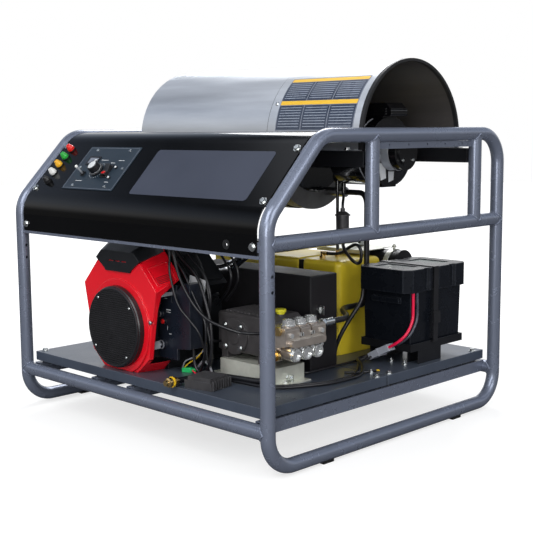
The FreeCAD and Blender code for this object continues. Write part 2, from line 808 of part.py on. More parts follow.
ring = turned([("round_hole_radius - 4", "-panel_sheet - 2"), ("round_hole_radius + 3", "-panel_sheet - 2"),
               ("round_hole_radius + 3", "-panel_sheet"), ("round_hole_radius - fit_clearance",
                                                           "-panel_sheet"),
               ("round_hole_radius - fit_clearance", "0"), ("round_hole_radius + 3", "0"),
               ("round_hole_radius + 3", "2"),
               ("round_hole_radius - 4", "2")])
trims.append(place(ring, "round_hole_place", "-frame_half_depth - panel_offset", "panel_bolt_front",
                   (1, 0, 0), "90"))

# Arched hood in two halves that overlap, with rubber trim on its open right edge

hood_middle = "(post_front + post_rear) / 2"


def arch_shape(radius, sheet_size, flange, foot):
    """Face of an arch on two legs, each with a flange turned outwards."""
    legs = number("hood_axis_height")
    spots = [(-radius - flange, foot + sheet_size), (-radius, foot + sheet_size), (-radius, legs),
             (radius, legs), (radius, foot + sheet_size), (radius + flange, foot + sheet_size),
             (radius + flange, foot), (radius - sheet_size, foot), (radius - sheet_size, legs),
             (-radius + sheet_size, legs), (-radius + sheet_size, foot), (-radius - flange, foot)]
    points = [Vector(0, y, z) for y, z in spots]
    edges = []
    for i, point in enumerate(points):
        after = points[(i + 1) % len(points)]
        if i in (2, 8):
            rise = radius if i == 2 else radius - sheet_size
            edges.append(Part.Arc(point, Vector(0, 0, legs + rise), after).toShape())
        elif (after - point).Length > 1e-6:
            edges.append(Part.LineSegment(point, after).toShape())
    return Part.Face(Part.Wire(edges))


def arch(radius, sheet_size, flange, foot, length, x):
    face = arch_shape(number(radius), number(sheet_size), number(flange), number(foot))
    return place(shaped(face.extrude(Vector(number(length), 0, 0))), x, hood_middle)


under = "hood_radius - hood_sheet - fit_clearance"
left_half = arch(under, "hood_sheet", "hood_flange", "beam_top", "hood_seam + hood_overlap - hood_left",
                 "hood_left")
clear = [block("hood_overlap + 10", "hood_flange + 10", "20", "hood_seam - 1", y, "beam_top - 5")
         for y in (f"{hood_middle} - ({under}) - hood_flange - 10", f"{hood_middle} + {under}")]
louvres = [block("louvre_width", "hood_radius * 0.84", "hood_radius", f"louvre_first + {i} * louvre_pitch",
                 f"{hood_middle} - hood_radius * 0.42", "hood_axis_height + hood_radius * 0.9")
           for i in range(5)]
HOOD_BOLTS = ("hood_left + 36", "hood_seam - 60", "hood_right - 200", "hood_right - 36")
hood_bolt_y = ("post_front - 0.5", "post_rear + 0.5")


def hood_holes(xs):
    return [rod("bolt_radius + bolt_clearance", "20", x, y, "beam_top - 5") for x in xs for y in hood_bolt_y]


node("hood_left", cut(left_half, *clear, *louvres, *hood_holes(HOOD_BOLTS[:2])))
right_half = arch("hood_radius", "hood_sheet", "hood_flange", "beam_top", "hood_right - hood_seam",
                  "hood_seam")
node("hood_right", cut(right_half, *hood_holes(HOOD_BOLTS[2:])))
lip = arch("hood_radius + trim_wall", "hood_sheet + 2 * trim_wall", "0",
           "beam_top + hood_sheet + fit_clearance",
           "trim_width", "hood_right - trim_width + trim_wall")
slot = arch("hood_radius + fit_clearance", "hood_sheet + 2 * fit_clearance", "0", "beam_top - 5",
            "trim_width",
            "hood_right - trim_width + fit_clearance")
trims.append(cut(lip, slot))
node("rubber_parts", *rubber, *trims)
doc.recompute()


def angled(thing, angle, x="0", y="0", z="0", axis=(1, 0, 0)):
    """Turns a piece about an axis through its own origin, then moves it."""
    return place(together([thing]), x, y, z, axis, angle)


# Coil drum: a closed drum with a rim at its burner end and three rails for the coil

drum_length = "(drum_right - drum_left)"
drum_at = (hood_middle, "drum_axis_height")
skin = fuse(rod("drum_radius", drum_length, "drum_left", *drum_at, "x"),
            rod("drum_radius + 3", "12", "drum_right - 12", *drum_at, "x"))
hollow = rod("drum_radius - drum_wall", f"{drum_length} - 2 * drum_wall", "drum_left + drum_wall", *drum_at,
             "x")
coil_reach = "(coil_radius + coil_tube_radius + fit_clearance)"
rails = [angled(block(f"{drum_length} - 90", "8", f"drum_radius - {coil_reach} - 1", "0", "-4",
                      "-drum_radius + 1"),
                angle, "drum_left + 50", *drum_at) for angle in ("0", "120", "240")]
pipe_holes = [rod("coil_tube_radius + fit_clearance", "40", x, f"{hood_middle} {sign} coil_lead",
                  "drum_axis_height - coil_radius", "x")
              for x, sign in (("drum_left - 20", "-"), ("drum_right - 20", "+"))]
mouth = rod("blast_tube_radius + fit_clearance", "40", "drum_right - 20", *drum_at, "x")
node("coil_drum", cut(fuse(cut(skin, hollow), *rails), mouth, *pipe_holes))


# Heating coil: one tube wound on arcs, each half turn a pair of arcs that share a tangent

def arc_to(start, ahead, end):
    """The arc that leaves a point along a direction and reaches another point."""
    chord = (end - start).normalize()
    side = ahead - chord * ahead.dot(chord)
    if side.Length < 1e-9:
        return Part.LineSegment(start, end).toShape()
    bulge = (end - start).Length / 2 * math.tan(ahead.getAngle(chord) / 2)
    return Part.Arc(start, (start + end) / 2 + side.normalize() * bulge, end).toShape()


def biarc(start, ahead, end, onward):
    gap, both, share = end - start, ahead + onward, 1 - ahead.dot(onward)
    along = gap.dot(both)
    reach = (-along + math.sqrt(along ** 2 + 2 * share * gap.dot(gap))) / (2 * share)
    joint = (start + ahead * reach + end - onward * reach) / 2
    first = arc_to(start, ahead, joint)
    back = arc_to(end, onward * -1, joint)
    return [first, back]


def coil_wire():
    """A helix along +X round the axis Y = 0, Z = 0, with a straight lead at each end."""
    radius, pitch, lead = number("coil_radius"), number("coil_pitch"), number("coil_lead")

    def spot(turn):
        return Vector(turn * pitch, radius * math.sin(turn * 2 * math.pi),
                      -radius * math.cos(turn * 2 * math.pi))

    def ahead(turn):
        across = 2 * math.pi * radius
        angle = turn * 2 * math.pi
        return Vector(pitch, across * math.cos(angle), across * math.sin(angle)).normalize()

    turns = int(number("coil_turns"))
    edges = []
    for i in range(2 * turns):
        edges += biarc(spot(i / 2), ahead(i / 2), spot(i / 2 + 0.5), ahead(i / 2 + 0.5))
    corner = Vector(lead, lead, 0)
    first, last = spot(0) - corner, spot(turns) + corner
    edges += biarc(first, Vector(1, 0, 0), spot(0), ahead(0))
    edges += biarc(spot(turns), ahead(turns), last, Vector(1, 0, 0))
    left = Vector(number("drum_left - coil_stub - coil_start"), first.y, first.z)
    right = Vector(number("drum_right + coil_stub - coil_start"), last.y, last.z)
    edges += [Part.LineSegment(left, first).toShape(), Part.LineSegment(last, right).toShape()]
    return Part.Wire(Part.__sortEdges__(edges))


winding = coil_wire()
spots = [spot for edge in winding.OrderedEdges for spot in edge.discretize(9)]
near = min(a.distanceToPoint(b) for i, a in enumerate(spots) for b in spots[i + 30:])
print("heating coil: least gap to itself", round(near - 2 * number("coil_tube_radius"), 2), "mm")
start = min(winding.Vertexes, key=lambda v: v.X).Point
section = Part.Wire(Part.makeCircle(number("coil_tube_radius"), start, Vector(1, 0, 0)))
node("heating_coil", place(shaped(winding.makePipeShell([section], True, False)), "coil_start", *drum_at))

# Burner on the drum's axis: blast tube and blower housing, fan, motor, igniter, fuel pump

housing = turned([("blast_tube_radius - 3", "drum_right - 24"), ("blast_tube_radius", "drum_right - 24"),
                  ("blast_tube_radius", "drum_right"), ("burner_flange_radius", "drum_right"),
                  ("burner_flange_radius", "drum_right + burner_flange_thickness"),
                  ("blast_tube_radius", "drum_right + burner_flange_thickness"),
                  ("blast_tube_radius", "blower_left"), ("blower_radius", "blower_left"),
                  ("blower_radius", "blower_right"), ("blower_radius - blower_wall", "blower_right"),
                  ("blower_radius - blower_wall", "blower_left + blower_wall"),
                  ("blast_tube_radius - 3", "blower_left + blower_wall")])
place(housing, "0", *drum_at, (0, 1, 0), "90")
saddle_block = cut(block("100", "60", "23", "blower_right - 100", f"{hood_middle} - 30",
                         "drum_axis_height + blower_radius - 20"),
                   rod("blower_radius - 1", "120", "blower_right - 110", *drum_at, "x"))
foot = cut(block("56", "64", "16", "blower_right - 56", f"{hood_middle} - 32",
                 "drum_axis_height - blower_radius - 4"),
           rod("blower_radius - 1", "120", "blower_right - 110", *drum_at, "x"))
band = cut(rod("blower_radius + 3", "22", "blower_right - 60", *drum_at, "x"),
           rod("blower_radius - 1", "22", "blower_right - 60", *drum_at, "x"))
node("burner_housing", fuse(housing, saddle_block, foot, band))

fan_parts = [rod("14", "fan_length - 20", "blower_right - 8 - fan_length", *drum_at, "x"),
             rod("fan_radius", "blade_thickness", "blower_right - 8 - fan_length", *drum_at, "x"),
             rod("motor_shaft_radius", "fan_length + 24", "blower_right - 8 - fan_length", *drum_at, "x")]
fan_parts += [angled(block("fan_length", "blade_thickness", "24", "0", "-blade_thickness / 2",
                           "fan_radius - 24"),
                     f"{i} * 360 / fan_blades", "blower_right - 8 - fan_length", *drum_at)
              for i in range(int(number("fan_blades")))]
node("burner_fan", fuse(*fan_parts))

motor = cut(fuse(rod("blower_radius + 2", "5", "blower_right", *drum_at, "x"),
                 rod("motor_radius", "motor_length", "blower_right + 5", *drum_at, "x"),
                 rod("motor_radius - 14", "5", "blower_right + 5 + motor_length", *drum_at, "x")),
            rod("motor_shaft_radius + 0.05", "28", "blower_right - 1", *drum_at, "x"))
node("burner_motor", motor)

igniter = body()
pad(igniter, "XZ_Plane", [("0", "0"), ("igniter_width", "0"), ("igniter_width", "igniter_height * 0.45"),
                          ("igniter_width * 0.8", "igniter_height"), ("0", "igniter_height")],
    "igniter_depth")
round_edges(igniter, "5", runs_along(Vector(0, 1, 0)))
node("igniter_box", place(igniter, "blower_right - 65", f"{hood_middle} + igniter_depth / 2 + 2",
                          "drum_axis_height + blower_radius + 3.3"))

fuel_pump = fuse(rod("22", "46", "blower_left - 46", hood_middle, "drum_axis_height - 74.5", "x"),
                 rod("9", "10", "blower_left - 56", hood_middle, "drum_axis_height - 74.5", "x"),
                 *[rod("7", "34", x, f"{hood_middle} - 12", "drum_axis_height - 122")
                   for x in ("blower_left - 36", "blower_left - 12")])
node("fuel_pump", fuel_pump)

# Fuel filter: a canister under a domed head, hung from the pump's hose pipe

canister = turned([("0", "-filter_length"), ("filter_radius - 4", "-filter_length"),
                   ("filter_radius", "-filter_length + 5"),
                   ("filter_radius", "-12"), ("filter_radius + 4", "-12"), ("filter_radius + 4", "-9"),
                   ("filter_radius", "-6"), ("filter_radius * 0.6", "0"), ("7", "1"), ("7", "10"),
                   ("0", "10")])
doc.recompute()
node("fuel_filter", place(canister, "filter_place", "filter_back", "filter_top"))

# Fuel tank: hollow, with rounded edges, a strap groove, a filler neck and an outlet boss

tank_back = "(tank_front + tank_depth)"
tank_top = "(deck_top + tank_height)"
tank = body()
pad(tank, "XY_Plane", [("tank_left", "tank_front"), ("tank_right", "tank_front"), ("tank_right", tank_back),
                       ("tank_left", tank_back)], "tank_height")
round_edges(tank, "tank_round", runs_along(Vector(0, 0, 1)))
round_edges(tank, "tank_round * 0.8", lambda edge: edge.BoundBox.ZMin > 10)
place(tank, z="deck_top")
grooves = [block("strap_width + 4", "groove_depth", "tank_height + 20", "strap_place - strap_width / 2 - 2",
                 y, "deck_top - 10")
           for y in ("tank_front - 1", f"{tank_back} + 1 - groove_depth")]
grooves.append(block("strap_width + 4", "tank_depth + 10", "groove_depth",
                     "strap_place - strap_width / 2 - 2",
                     "tank_front - 5", f"{tank_top} - groove_depth + 1"))
room = block("tank_right - tank_left - 24", "tank_depth - 24", "tank_height - 24", "tank_left + 12",
             "tank_front + 12", "deck_top + 12")
neck_at = ("cap_place", "tank_front + tank_depth / 2")
neck = rod("cap_radius - 8", "22", *neck_at, f"{tank_top} - 12")
bore = rod("cap_radius - 12", "60", *neck_at, f"{tank_top} - 30")
elbow_at = ("137", "tank_front + 40")
return_at = ("137", "tank_front + 110")
tank_holes = [rod("6", "30", *at, f"{tank_top} - 20") for at in (elbow_at, return_at)]
node("fuel_tank", cut(fuse(tank, neck), room, bore, *grooves, *tank_holes))
cap = cut(rod("cap_radius", "cap_height", *neck_at, f"{tank_top} + fit_clearance"),
          rod("cap_radius - 7.95", "cap_height - 6", *neck_at, tank_top))
grips = [angled(rod("2.5", "cap_height - 3", "cap_radius", "0", "0"), f"{i} * 24", *neck_at,
                f"{tank_top} + 1", (0, 0, 1))
         for i in range(15)]
node("tank_cap", fuse(cap, *grips))
doc.recompute()

# Hold-down straps over the tank and the battery box, and brass fittings

strap_x = "strap_place - strap_width / 2"
sinks = "(groove_depth - 1 - strap_thickness)"
band = [block("strap_width", "strap_thickness", f"tank_height - {sinks}", strap_x, y, "deck_top")
        for y in ("tank_front + groove_depth - 1 - fit_clearance - strap_thickness",
                  f"{tank_back} + 1 - groove_depth + fit_clearance")]
band.append(block("strap_width",
                  "tank_depth - 2 * groove_depth + 2 + 2 * fit_clearance + 2 * strap_thickness",
                  "strap_thickness", strap_x, "tank_front + groove_depth - 1 - fit_clearance - strap_thickness",
                  f"{tank_top} - groove_depth + 1 + fit_clearance"))
band += [block("strap_width", "20", "strap_thickness", strap_x, y, "deck_top")
         for y in ("tank_front + groove_depth - 1 - fit_clearance - 20",
                   f"{tank_back} + 1 - groove_depth + fit_clearance")]
tank_strap = fuse(*band)

box_x = "(tray_right - tray_width / 2)"
box_y = "(tray_front + tray_depth / 2)"
box_bottom = "(tray_floor + tray_sheet)"
lid_bottom = f"({box_bottom} + box_height)"
lid_top = f"({lid_bottom} + lid_height)"
strap_y = f"{box_y} - 18 - strap_width / 2"
reach = "(lid_width / 2 + fit_clearance)"
rise = f"{lid_top} + fit_clearance + strap_thickness - tray_floor - tray_lip"
band = [block("strap_thickness", "strap_width", rise, x, strap_y, "tray_floor + tray_lip")
        for x in (f"{box_x} - {reach} - strap_thickness", f"{box_x} + {reach}")]
band.append(block(f"2 * ({reach} + strap_thickness)", "strap_width", "strap_thickness",
                  f"{box_x} - {reach} - strap_thickness", strap_y, f"{lid_top} + fit_clearance"))
band.append(block("5", "strap_width + 10", "34", f"{box_x} + {reach} + strap_thickness", f"{strap_y} - 5",
                  "tray_floor + 74"))
band += [block("lid_width / 2 - tray_width / 2 + strap_thickness + fit_clearance", "strap_width",
               "strap_thickness", x, strap_y,
               "tray_floor + tray_lip - strap_thickness") for x in (f"{box_x} + tray_width / 2",
               f"{box_x} - {reach} - strap_thickness")]
node("hold_down_straps", tank_strap, fuse(*band))

brass = []
elbow = fuse(rod("5.7", "30", *elbow_at, f"{tank_top} - 14"), hexagon("10", "8", *elbow_at, tank_top),
             rod("7", "22", *elbow_at, tank_top), rod("6", "20", elbow_at[0], elbow_at[1],
                                                      f"{tank_top} + 16", "x"))
back = fuse(rod("5.7", "30", *return_at, f"{tank_top} - 14"), hexagon("9", "7", *return_at, tank_top),
            rod("6", "20", *return_at, tank_top))
brass += [elbow, back]

# Engine block: crankcase on two feet, two finned cylinders in a V, and their heads

def around_crank(thing, angle, y="0"):
    """Turns a piece built with the crank axis as its origin about that axis."""
    return place(thing, "crank_place", y, "crank_height", (0, 1, 0), angle)


case = body()
pad(case, "XZ_Plane", [("-block_half_width", "-crank_height + deck_top"),
                       ("block_half_width", "-crank_height + deck_top"),
                       ("block_half_width", "-crank_height + deck_top + 14"),
                       ("block_half_width - 16", "-80"),
                       ("block_half_width - 10", "40"), ("40", "104"), ("-40", "104"),
                       ("-block_half_width + 10", "40"),
                       ("-block_half_width + 16", "-80"), ("-block_half_width",
                                                           "-crank_height + deck_top + 14")],
    "block_rear - block_front")
round_edges(case, "5", runs_along(Vector(0, 1, 0)))
place(case, "crank_place", "block_rear", "crank_height")
engine_parts = [case, rod("34", "16", "crank_place", "block_rear - 1", "crank_height", "y"),
                rod("30", "10", "crank_place", "block_front - 9", "crank_height", "y")]
for side, angle, offset in (("right", "45", "-cylinder_offset"), ("left", "-45", "cylinder_offset")):
    parts = [rod("barrel_radius", "barrel_length", z="barrel_start")]
    parts += [block("2 * (barrel_radius + fin_depth)", "2 * (barrel_radius + fin_depth)", "2.5",
                    "-barrel_radius - fin_depth",
                    "-barrel_radius - fin_depth", f"barrel_start + 14 + {i} * 8.5") for i in range(9)]
    head = block("2 * barrel_radius + 10", "2 * barrel_radius + 14", "head_length", "-barrel_radius - 5",
                 "-barrel_radius - 7",
                 "barrel_start + barrel_length")
    cover = block("2 * barrel_radius - 14", "2 * barrel_radius - 10", "12", "-barrel_radius + 7",
                  "-barrel_radius + 5",
                  "barrel_start + barrel_length + head_length")
    engine_parts.append(around_crank(fuse(*parts, head, cover), angle,
                                     f"(block_front + block_rear) / 2 + {offset}"))
crank_bore = rod("crank_radius + 0.05", "400", "crank_place", "block_front - 60", "crank_height", "y")
engine = cut(fuse(*engine_parts), crank_bore)
node("engine_block", engine)
doc.recompute()

# Fan shroud: a hollow loft with its sides cut open, over a black collar round the flywheel

F_HALF = [("78", "-124.7"), ("130", "-80"), ("142", "0"), ("166", "112"), ("98", "184"), ("60", "215")]
R_HALF = [("95", "-124.7"), ("140", "-80"), ("160", "0"), ("173", "150"), ("107", "218"), ("85", "262")]


def mirrored(half, shrink="0"):
    """A closed outline from its right half, drawn in from every side by a wall."""
    right = [(f"{x} - {shrink}", f"{z} {'+' if i == 0 else '-'} {shrink}") for i, (x, z) in enumerate(half)]
    left = [(f"-({x})", z) for x, z in reversed(right)]
    return right + left


def lofted(front, rear, shrink, kind, owner, start, end):
    """The front stands at the larger offset, because the plane's own direction is -Y."""
    near = sketch(owner, "XZ_Plane", start)
    outline(near, mirrored(front, shrink))
    far = sketch(owner, "XZ_Plane", end)
    outline(far, mirrored(rear, shrink))
    made = owner.newObject("PartDesign::" + kind, "loft")
    made.Profile = near
    made.Sections = [far]
    made.Ruled = True
    doc.recompute()
    return made


hull = body()
lofted(F_HALF, R_HALF, "0", "AdditiveLoft", hull, "shroud_depth", "0")
lofted(F_HALF, R_HALF, "shroud_wall", "SubtractiveLoft", hull, "shroud_depth - shroud_wall", "-1")
place(hull, "crank_place", "shroud_front + shroud_depth", "crank_height")
crank_y = ("crank_place", "shroud_front", "crank_height")
bead = cut(rod("screen_radius + ring_width", "6", "crank_place", "shroud_front - 5", "crank_height", "y"),
           rod("screen_radius + fit_clearance", "20", "crank_place", "shroud_front - 10", "crank_height",
               "y"),
           block("300", "20", "40", "crank_place - 150", "shroud_front - 10", "crank_height - 164.7"))
side_cut = body()
pad(side_cut, "YZ_Plane", [("14", "-96"), ("100", "-96"), ("100", "156"), ("20", "101"), ("14", "60")],
    "500", both_ways=True)
place(side_cut, *crank_y)
eye = rod("screen_radius + fit_clearance", "20", "crank_place", "shroud_front - 10", "crank_height", "y")
ear = rod("9", "4", "crank_place + 142", "shroud_front + 6", "crank_height + 28", "y")
ear_bolt = rod("3", "30", "crank_place + 145", "shroud_front - 5", "crank_height + 28", "y")
node("fan_shroud", cut(fuse(cut(hull, side_cut), bead, ear), eye, ear_bolt))

screen = turned([("screen_radius - 3", "0"), ("screen_radius", "0"), ("screen_radius", "19"),
                 ("screen_radius - 6", "25"),
                 ("0", "27"), ("0", "25"), ("screen_radius - 7", "23"), ("screen_radius - 3", "18")])
node("intake_screen", place(screen, "crank_place", "shroud_front", "crank_height", (1, 0, 0), "90"))

collar = body()
pad(collar, "XZ_Plane", mirrored([("66", "-118"), ("100", "-84"), ("105", "0"), ("122", "104"),
                                  ("80", "168"), ("50", "190")]),
    "block_front - shroud_front - shroud_wall")
place(collar, "crank_place", "block_front", "crank_height")
drum_room = rod("flywheel_radius + 4", "block_front - shroud_front - shroud_wall - 6", "crank_place",
                "shroud_front + shroud_wall - 0.1", "crank_height", "y")
top_cover = body()
lofted([("44", "158"), ("56", "158"), ("62", "166"), ("100", "192"), ("76", "214"), ("62", "216")],
       [("44", "158"), ("56", "158"), ("62", "166"), ("108", "216"), ("98", "258"), ("84", "263")],
       "0", "AdditiveLoft", top_cover, "shroud_depth + 5", "4")
place(top_cover, "crank_place", "shroud_front + shroud_depth", "crank_height")
hull_copy = body()
lofted(F_HALF, R_HALF, "-fit_clearance", "AdditiveLoft", hull_copy, "shroud_depth", "0")
place(hull_copy, "crank_place", "shroud_front + shroud_depth", "crank_height")
vents = [block("26", "30", "3", f"crank_place - 44 + {i} * 30", "shroud_front - 12", "crank_height + 186")
         for i in range(3)]
boss_room = rod("30.3", "200", "crank_place", "shroud_front + 40", "crank_height", "y")
panel_room = block("60", "40", "260", "-14.3", "shroud_front + 56", "200")
node("shroud_cap", cut(collar, drum_room, boss_room, panel_room),
     cut(top_cover, hull_copy, *vents))

# Crankshaft with the belt sheave, and the flywheel with its fan

def sheave(radius, bore):
    """A pulley about its own axis with one groove for each belt, its middle at the origin."""
    half = "(belt_pitch + belt_width / 2 + 3)"
    corners = [(bore, f"-{half}"), (radius, f"-{half}")]
    for i in (-1, 1):
        middle = f"{i} * belt_pitch / 2"
        corners += [(radius, f"{middle} - belt_width / 2"), (f"{radius} - belt_depth - 2",
                                                             f"{middle} - belt_width / 2 + 2.5"),
                    (f"{radius} - belt_depth - 2", f"{middle} + belt_width / 2 - 2.5"),
                    (radius, f"{middle} + belt_width / 2")]
    return turned(corners + [(radius, half), (bore, half)])


drive_sheave = place(sheave("drive_pulley_radius", "crank_radius - 1"), "crank_place", "belt_middle",
                     "crank_height", (-1, 0, 0), "90")
shaft = rod("crank_radius", "belt_middle + 24 - shroud_front - 14", "crank_place", "shroud_front + 14",
            "crank_height", "y")
node("crankshaft", fuse(drive_sheave, shaft))

wheel = fuse(rod("flywheel_radius", "12", "crank_place", "shroud_front + 50", "crank_height", "y"),
             rod("34", "40", "crank_place", "shroud_front + 22", "crank_height", "y"))
vanes = [angled(block("4", "vane_height", "flywheel_radius - 40", "-2", "0", "38"), f"{i} * 360 / vane_count",
                "crank_place", "shroud_front + 50 - vane_height", "crank_height", (0, 1, 0))
         for i in range(int(number("vane_count")))]
node("flywheel_fan", cut(fuse(wheel, *vanes), rod("crank_radius", "100", "crank_place", "shroud_front",
                                                  "crank_height", "y")))

# Engine control box with its switch panel, key and choke lever

control_y = "shroud_front + 65"
plate_body = body()
pad(plate_body, "XZ_Plane", [("-14", "212"), ("66", "212"), ("66", "424"), ("20", "424"), ("-6", "398")], "8")
place(plate_body, "0", f"{control_y} + 8", "0")
ecu = body()
pad(ecu, "XZ_Plane", [("65", "244"), ("121", "250"), ("121", "432"), ("92", "432"), ("65", "406")], "46")
round_edges(ecu, "2", runs_along(Vector(0, 1, 0)))
place(ecu, "0", f"{control_y} + 46", "0")
stay = block("60", "44", "28", "4", f"{control_y} + 8", "300")
lock = rod("13", "14", "8", f"{control_y} - 10", "252", "y")
key_bore = rod("4.05", "30", "8", f"{control_y} - 14", "252", "y")
slot_hole = block("5", "20", "36", "43.5", f"{control_y} - 6", "374")
lugs = [cut(block("6", "18", "16", x, f"{control_y} + 7", "392"), rod("3.05", "20", f"{x} - 5",
                                                                      f"{control_y} + 16", "400", "x"))
        for x in ("34", "52")]
buttons = [rod("10", "8", "-2", f"{control_y} - 8", "338", "y"), rod("8", "6", "12", f"{control_y} - 6",
                                                                     "318", "y")]
node("engine_control_box", cut(fuse(plate_body, ecu, stay, lock, *lugs, *buttons), key_bore, slot_hole))

grip = cut(block("6", "30", "22", "-3", "-46", "-11"), rod("3.5", "20", "-10", "-40", "-5", "x"))
key = fuse(rod("4", "26", "0", "-18", "0", "y"), grip)
node("ignition_key", place(together([key]), "8", control_y, "252"))
choke = fuse(rod("3", "26", "-13", "0", "0", "x"), block("3", "60", "10", "-1.5", "-56", "-5"),
             rod("5", "10", "-5", "-56", "0", "x"))
node("choke_lever", place(together([choke]), "46", f"{control_y} + 16", "400"))

air_box = body()
pad(air_box, "XY_Plane", rectangle("190", "150", "crank_place", "-265"), "52", offset="crank_height + 196")
round_edges(air_box, "14", runs_along(Vector(0, 0, 1)))
air = cut(fuse(air_box, rod("24", "96", "crank_place", "-265", "crank_height + 104.3")),
          *[together([around_crank(block("2 * (barrel_radius + fin_depth) + 1", "200", "400",
                                         "-barrel_radius - fin_depth - 0.5",
                                         "-100", "0"), angle, "-250")]) for angle in ("45", "-45")])
node("air_cleaner", air)
doc.recompute()

# Exhaust: a bent pipe over the tank into a silencer, with a heat shield and two clamp stays

silencer_y = "(tank_front + tank_depth + 62)"
silencer = fuse(rod("silencer_radius", "240", "silencer_left", silencer_y, "silencer_height", "x"),
                rod("silencer_radius + 2", "6", "silencer_left - 3", silencer_y, "silencer_height", "x"),
                rod("silencer_radius + 2", "6", "silencer_left + 237", silencer_y, "silencer_height", "x"),
                rod("exhaust_radius", "18", "silencer_left + 240", silencer_y, "silencer_height", "x"))


def hose_shape(name, radius, points, bends):
    """A hose along straight runs and arcs. Prints its arc radii and checks its volume."""
    wire = tube_path([Vector(*point) for point in points], bends)
    shape = swept(wire, radius)
    error = shape.Volume / (math.pi * radius ** 2 * wire.Length) - 1
    print(name, "length", round(wire.Length), "arc radii", bends, "volume off by", f"{error:.4%}")
    return shape


pipe = shaped(hose_shape("exhaust pipe", number("exhaust_radius"),
                         [(25, -216.7, 445), (25, -148, 445), (110, -142, 504), (110, 374.5, 504),
                          (110, 374.5, 440)],
                         [32, 36, 32]))
pipe_flange = rod("exhaust_radius + 6", "6", "25", "-216.7", "445", "y")
node("exhaust", fuse(silencer, pipe, pipe_flange))

stays = []
for x in ("silencer_left + 30", "silencer_left + 196"):
    ring = cut(rod("silencer_radius + 3", "18", x, silencer_y, "silencer_height", "x"),
               rod("silencer_radius + fit_clearance", "18", x, silencer_y, "silencer_height", "x"))
    leg = cut(block("18", "8", "silencer_height - deck_top - silencer_radius", x, f"{silencer_y} - 4",
                    "deck_top"),
              rod("silencer_radius + 1", "18", x, silencer_y, "silencer_height", "x"))
    sole = block("18", "40", "4", x, f"{silencer_y} - 20", "deck_top")
    stud = rod("4", "16", f"{x} + 9", silencer_y, "silencer_height + silencer_radius + 2", "z")
    nut = hexagon("7.5", "6", f"{x} + 9", silencer_y, "silencer_height + silencer_radius + 8", "z")
    stays.append(fuse(ring, leg, sole, stud, nut))
shield = cut(block("200", "150", "2", "silencer_left - 20", f"{silencer_y} - 116",
                   "silencer_height + silencer_radius + 3.1"),
             rod("exhaust_radius + 4", "20", "110", silencer_y, "silencer_height + silencer_radius - 5"),
             *[rod("4.2", "20", f"{x} + 9", silencer_y, "silencer_height + silencer_radius - 5")
               for x in ("silencer_left + 30",)],
             block("60", "40", "20", "silencer_left + 170", f"{silencer_y} - 20",
                   "silencer_height + silencer_radius"))
fold = block("200", "2", "10", "silencer_left - 20", f"{silencer_y} - 116",
             "silencer_height + silencer_radius - 6.9")

# Belt drive: the pump's sheave and shaft, two belts, and the guard that covers them

pump_sheave = place(sheave("pump_pulley_radius", "11"), "pump_place", "belt_middle", "pump_axis_height",
                    (-1, 0, 0), "90")
pump_shaft = rod("12", "belt_middle + 24 - case_front - 40", "pump_place", "case_front + 40",
                 "pump_axis_height", "y")
spoke_holes = [angled(rod("17", "80", "62", "0", "-40"), f"{i} * 72", "0", "0", "0", (0, 0, 1))
               for i in range(5)]
holes = place(together(spoke_holes), "pump_place", "belt_middle", "pump_axis_height", (-1, 0, 0), "90")
node("pump_pulley", fuse(cut(pump_sheave, holes), pump_shaft))


def belt_loop(extra):
    """Wire round both sheaves at the same distance from each rim."""
    start = Vector(number("crank_place"), 0, number("crank_height"))
    end = Vector(number("pump_place"), 0, number("pump_axis_height"))
    small, large = number("drive_pulley_radius") + extra, number("pump_pulley_radius") + extra
    along = (end - start).normalize()
    across = Vector(-along.z, 0, along.x)
    lean = (small - large) / (end - start).Length
    normals = [along * lean + across * sign * math.sqrt(1 - lean ** 2) for sign in (1, -1)]
    near = [start + n * small for n in normals]
    far = [end + n * large for n in normals]
    edges = [Part.LineSegment(near[0], far[0]).toShape(), Part.Arc(far[0], end + along * large,
                                                                   far[1]).toShape(),
             Part.LineSegment(far[1], near[1]).toShape(), Part.Arc(near[1], start - along * small,
                                                                   near[0]).toShape()]
    return Part.Wire(edges)


inset = number("belt_depth") - 0.5
belt = Part.Face(belt_loop(0.5)).cut(Part.Face(belt_loop(-inset))).extrude(Vector(0,
                                                                                  number("belt_width") - 4.6,
                                                                                  0))
node("drive_belts", *[place(shaped(belt), y=f"belt_middle {i} belt_pitch / 2 - (belt_width - 4.6) / 2")
                       for i in ("-", "+")])

guard_body = body()
pad(guard_body, "XY_Plane", [("guard_left", "guard_front"), ("guard_right", "guard_front"),
                             ("guard_right", "guard_rear"),
                             ("guard_left", "guard_rear")], "guard_height")
round_edges(guard_body, "4", lambda edge: edge.BoundBox.ZMax > 1)
place(guard_body, z="deck_top")
room = block("guard_right - guard_left - 2 * guard_sheet", "guard_rear - guard_front - 2 * guard_sheet",
             "guard_height",
             "guard_left + guard_sheet", "guard_front + guard_sheet", "deck_top - guard_sheet")
ports = [rod("crank_radius + 4", "20", "crank_place", "guard_front - 5", "crank_height", "y"),
         rod("16", "20", "pump_place", "guard_front - 5", "pump_axis_height", "y")]
node("belt_guard", cut(guard_body, room, *ports))

# Triplex pump: crankcase with its covers, ribs and feet

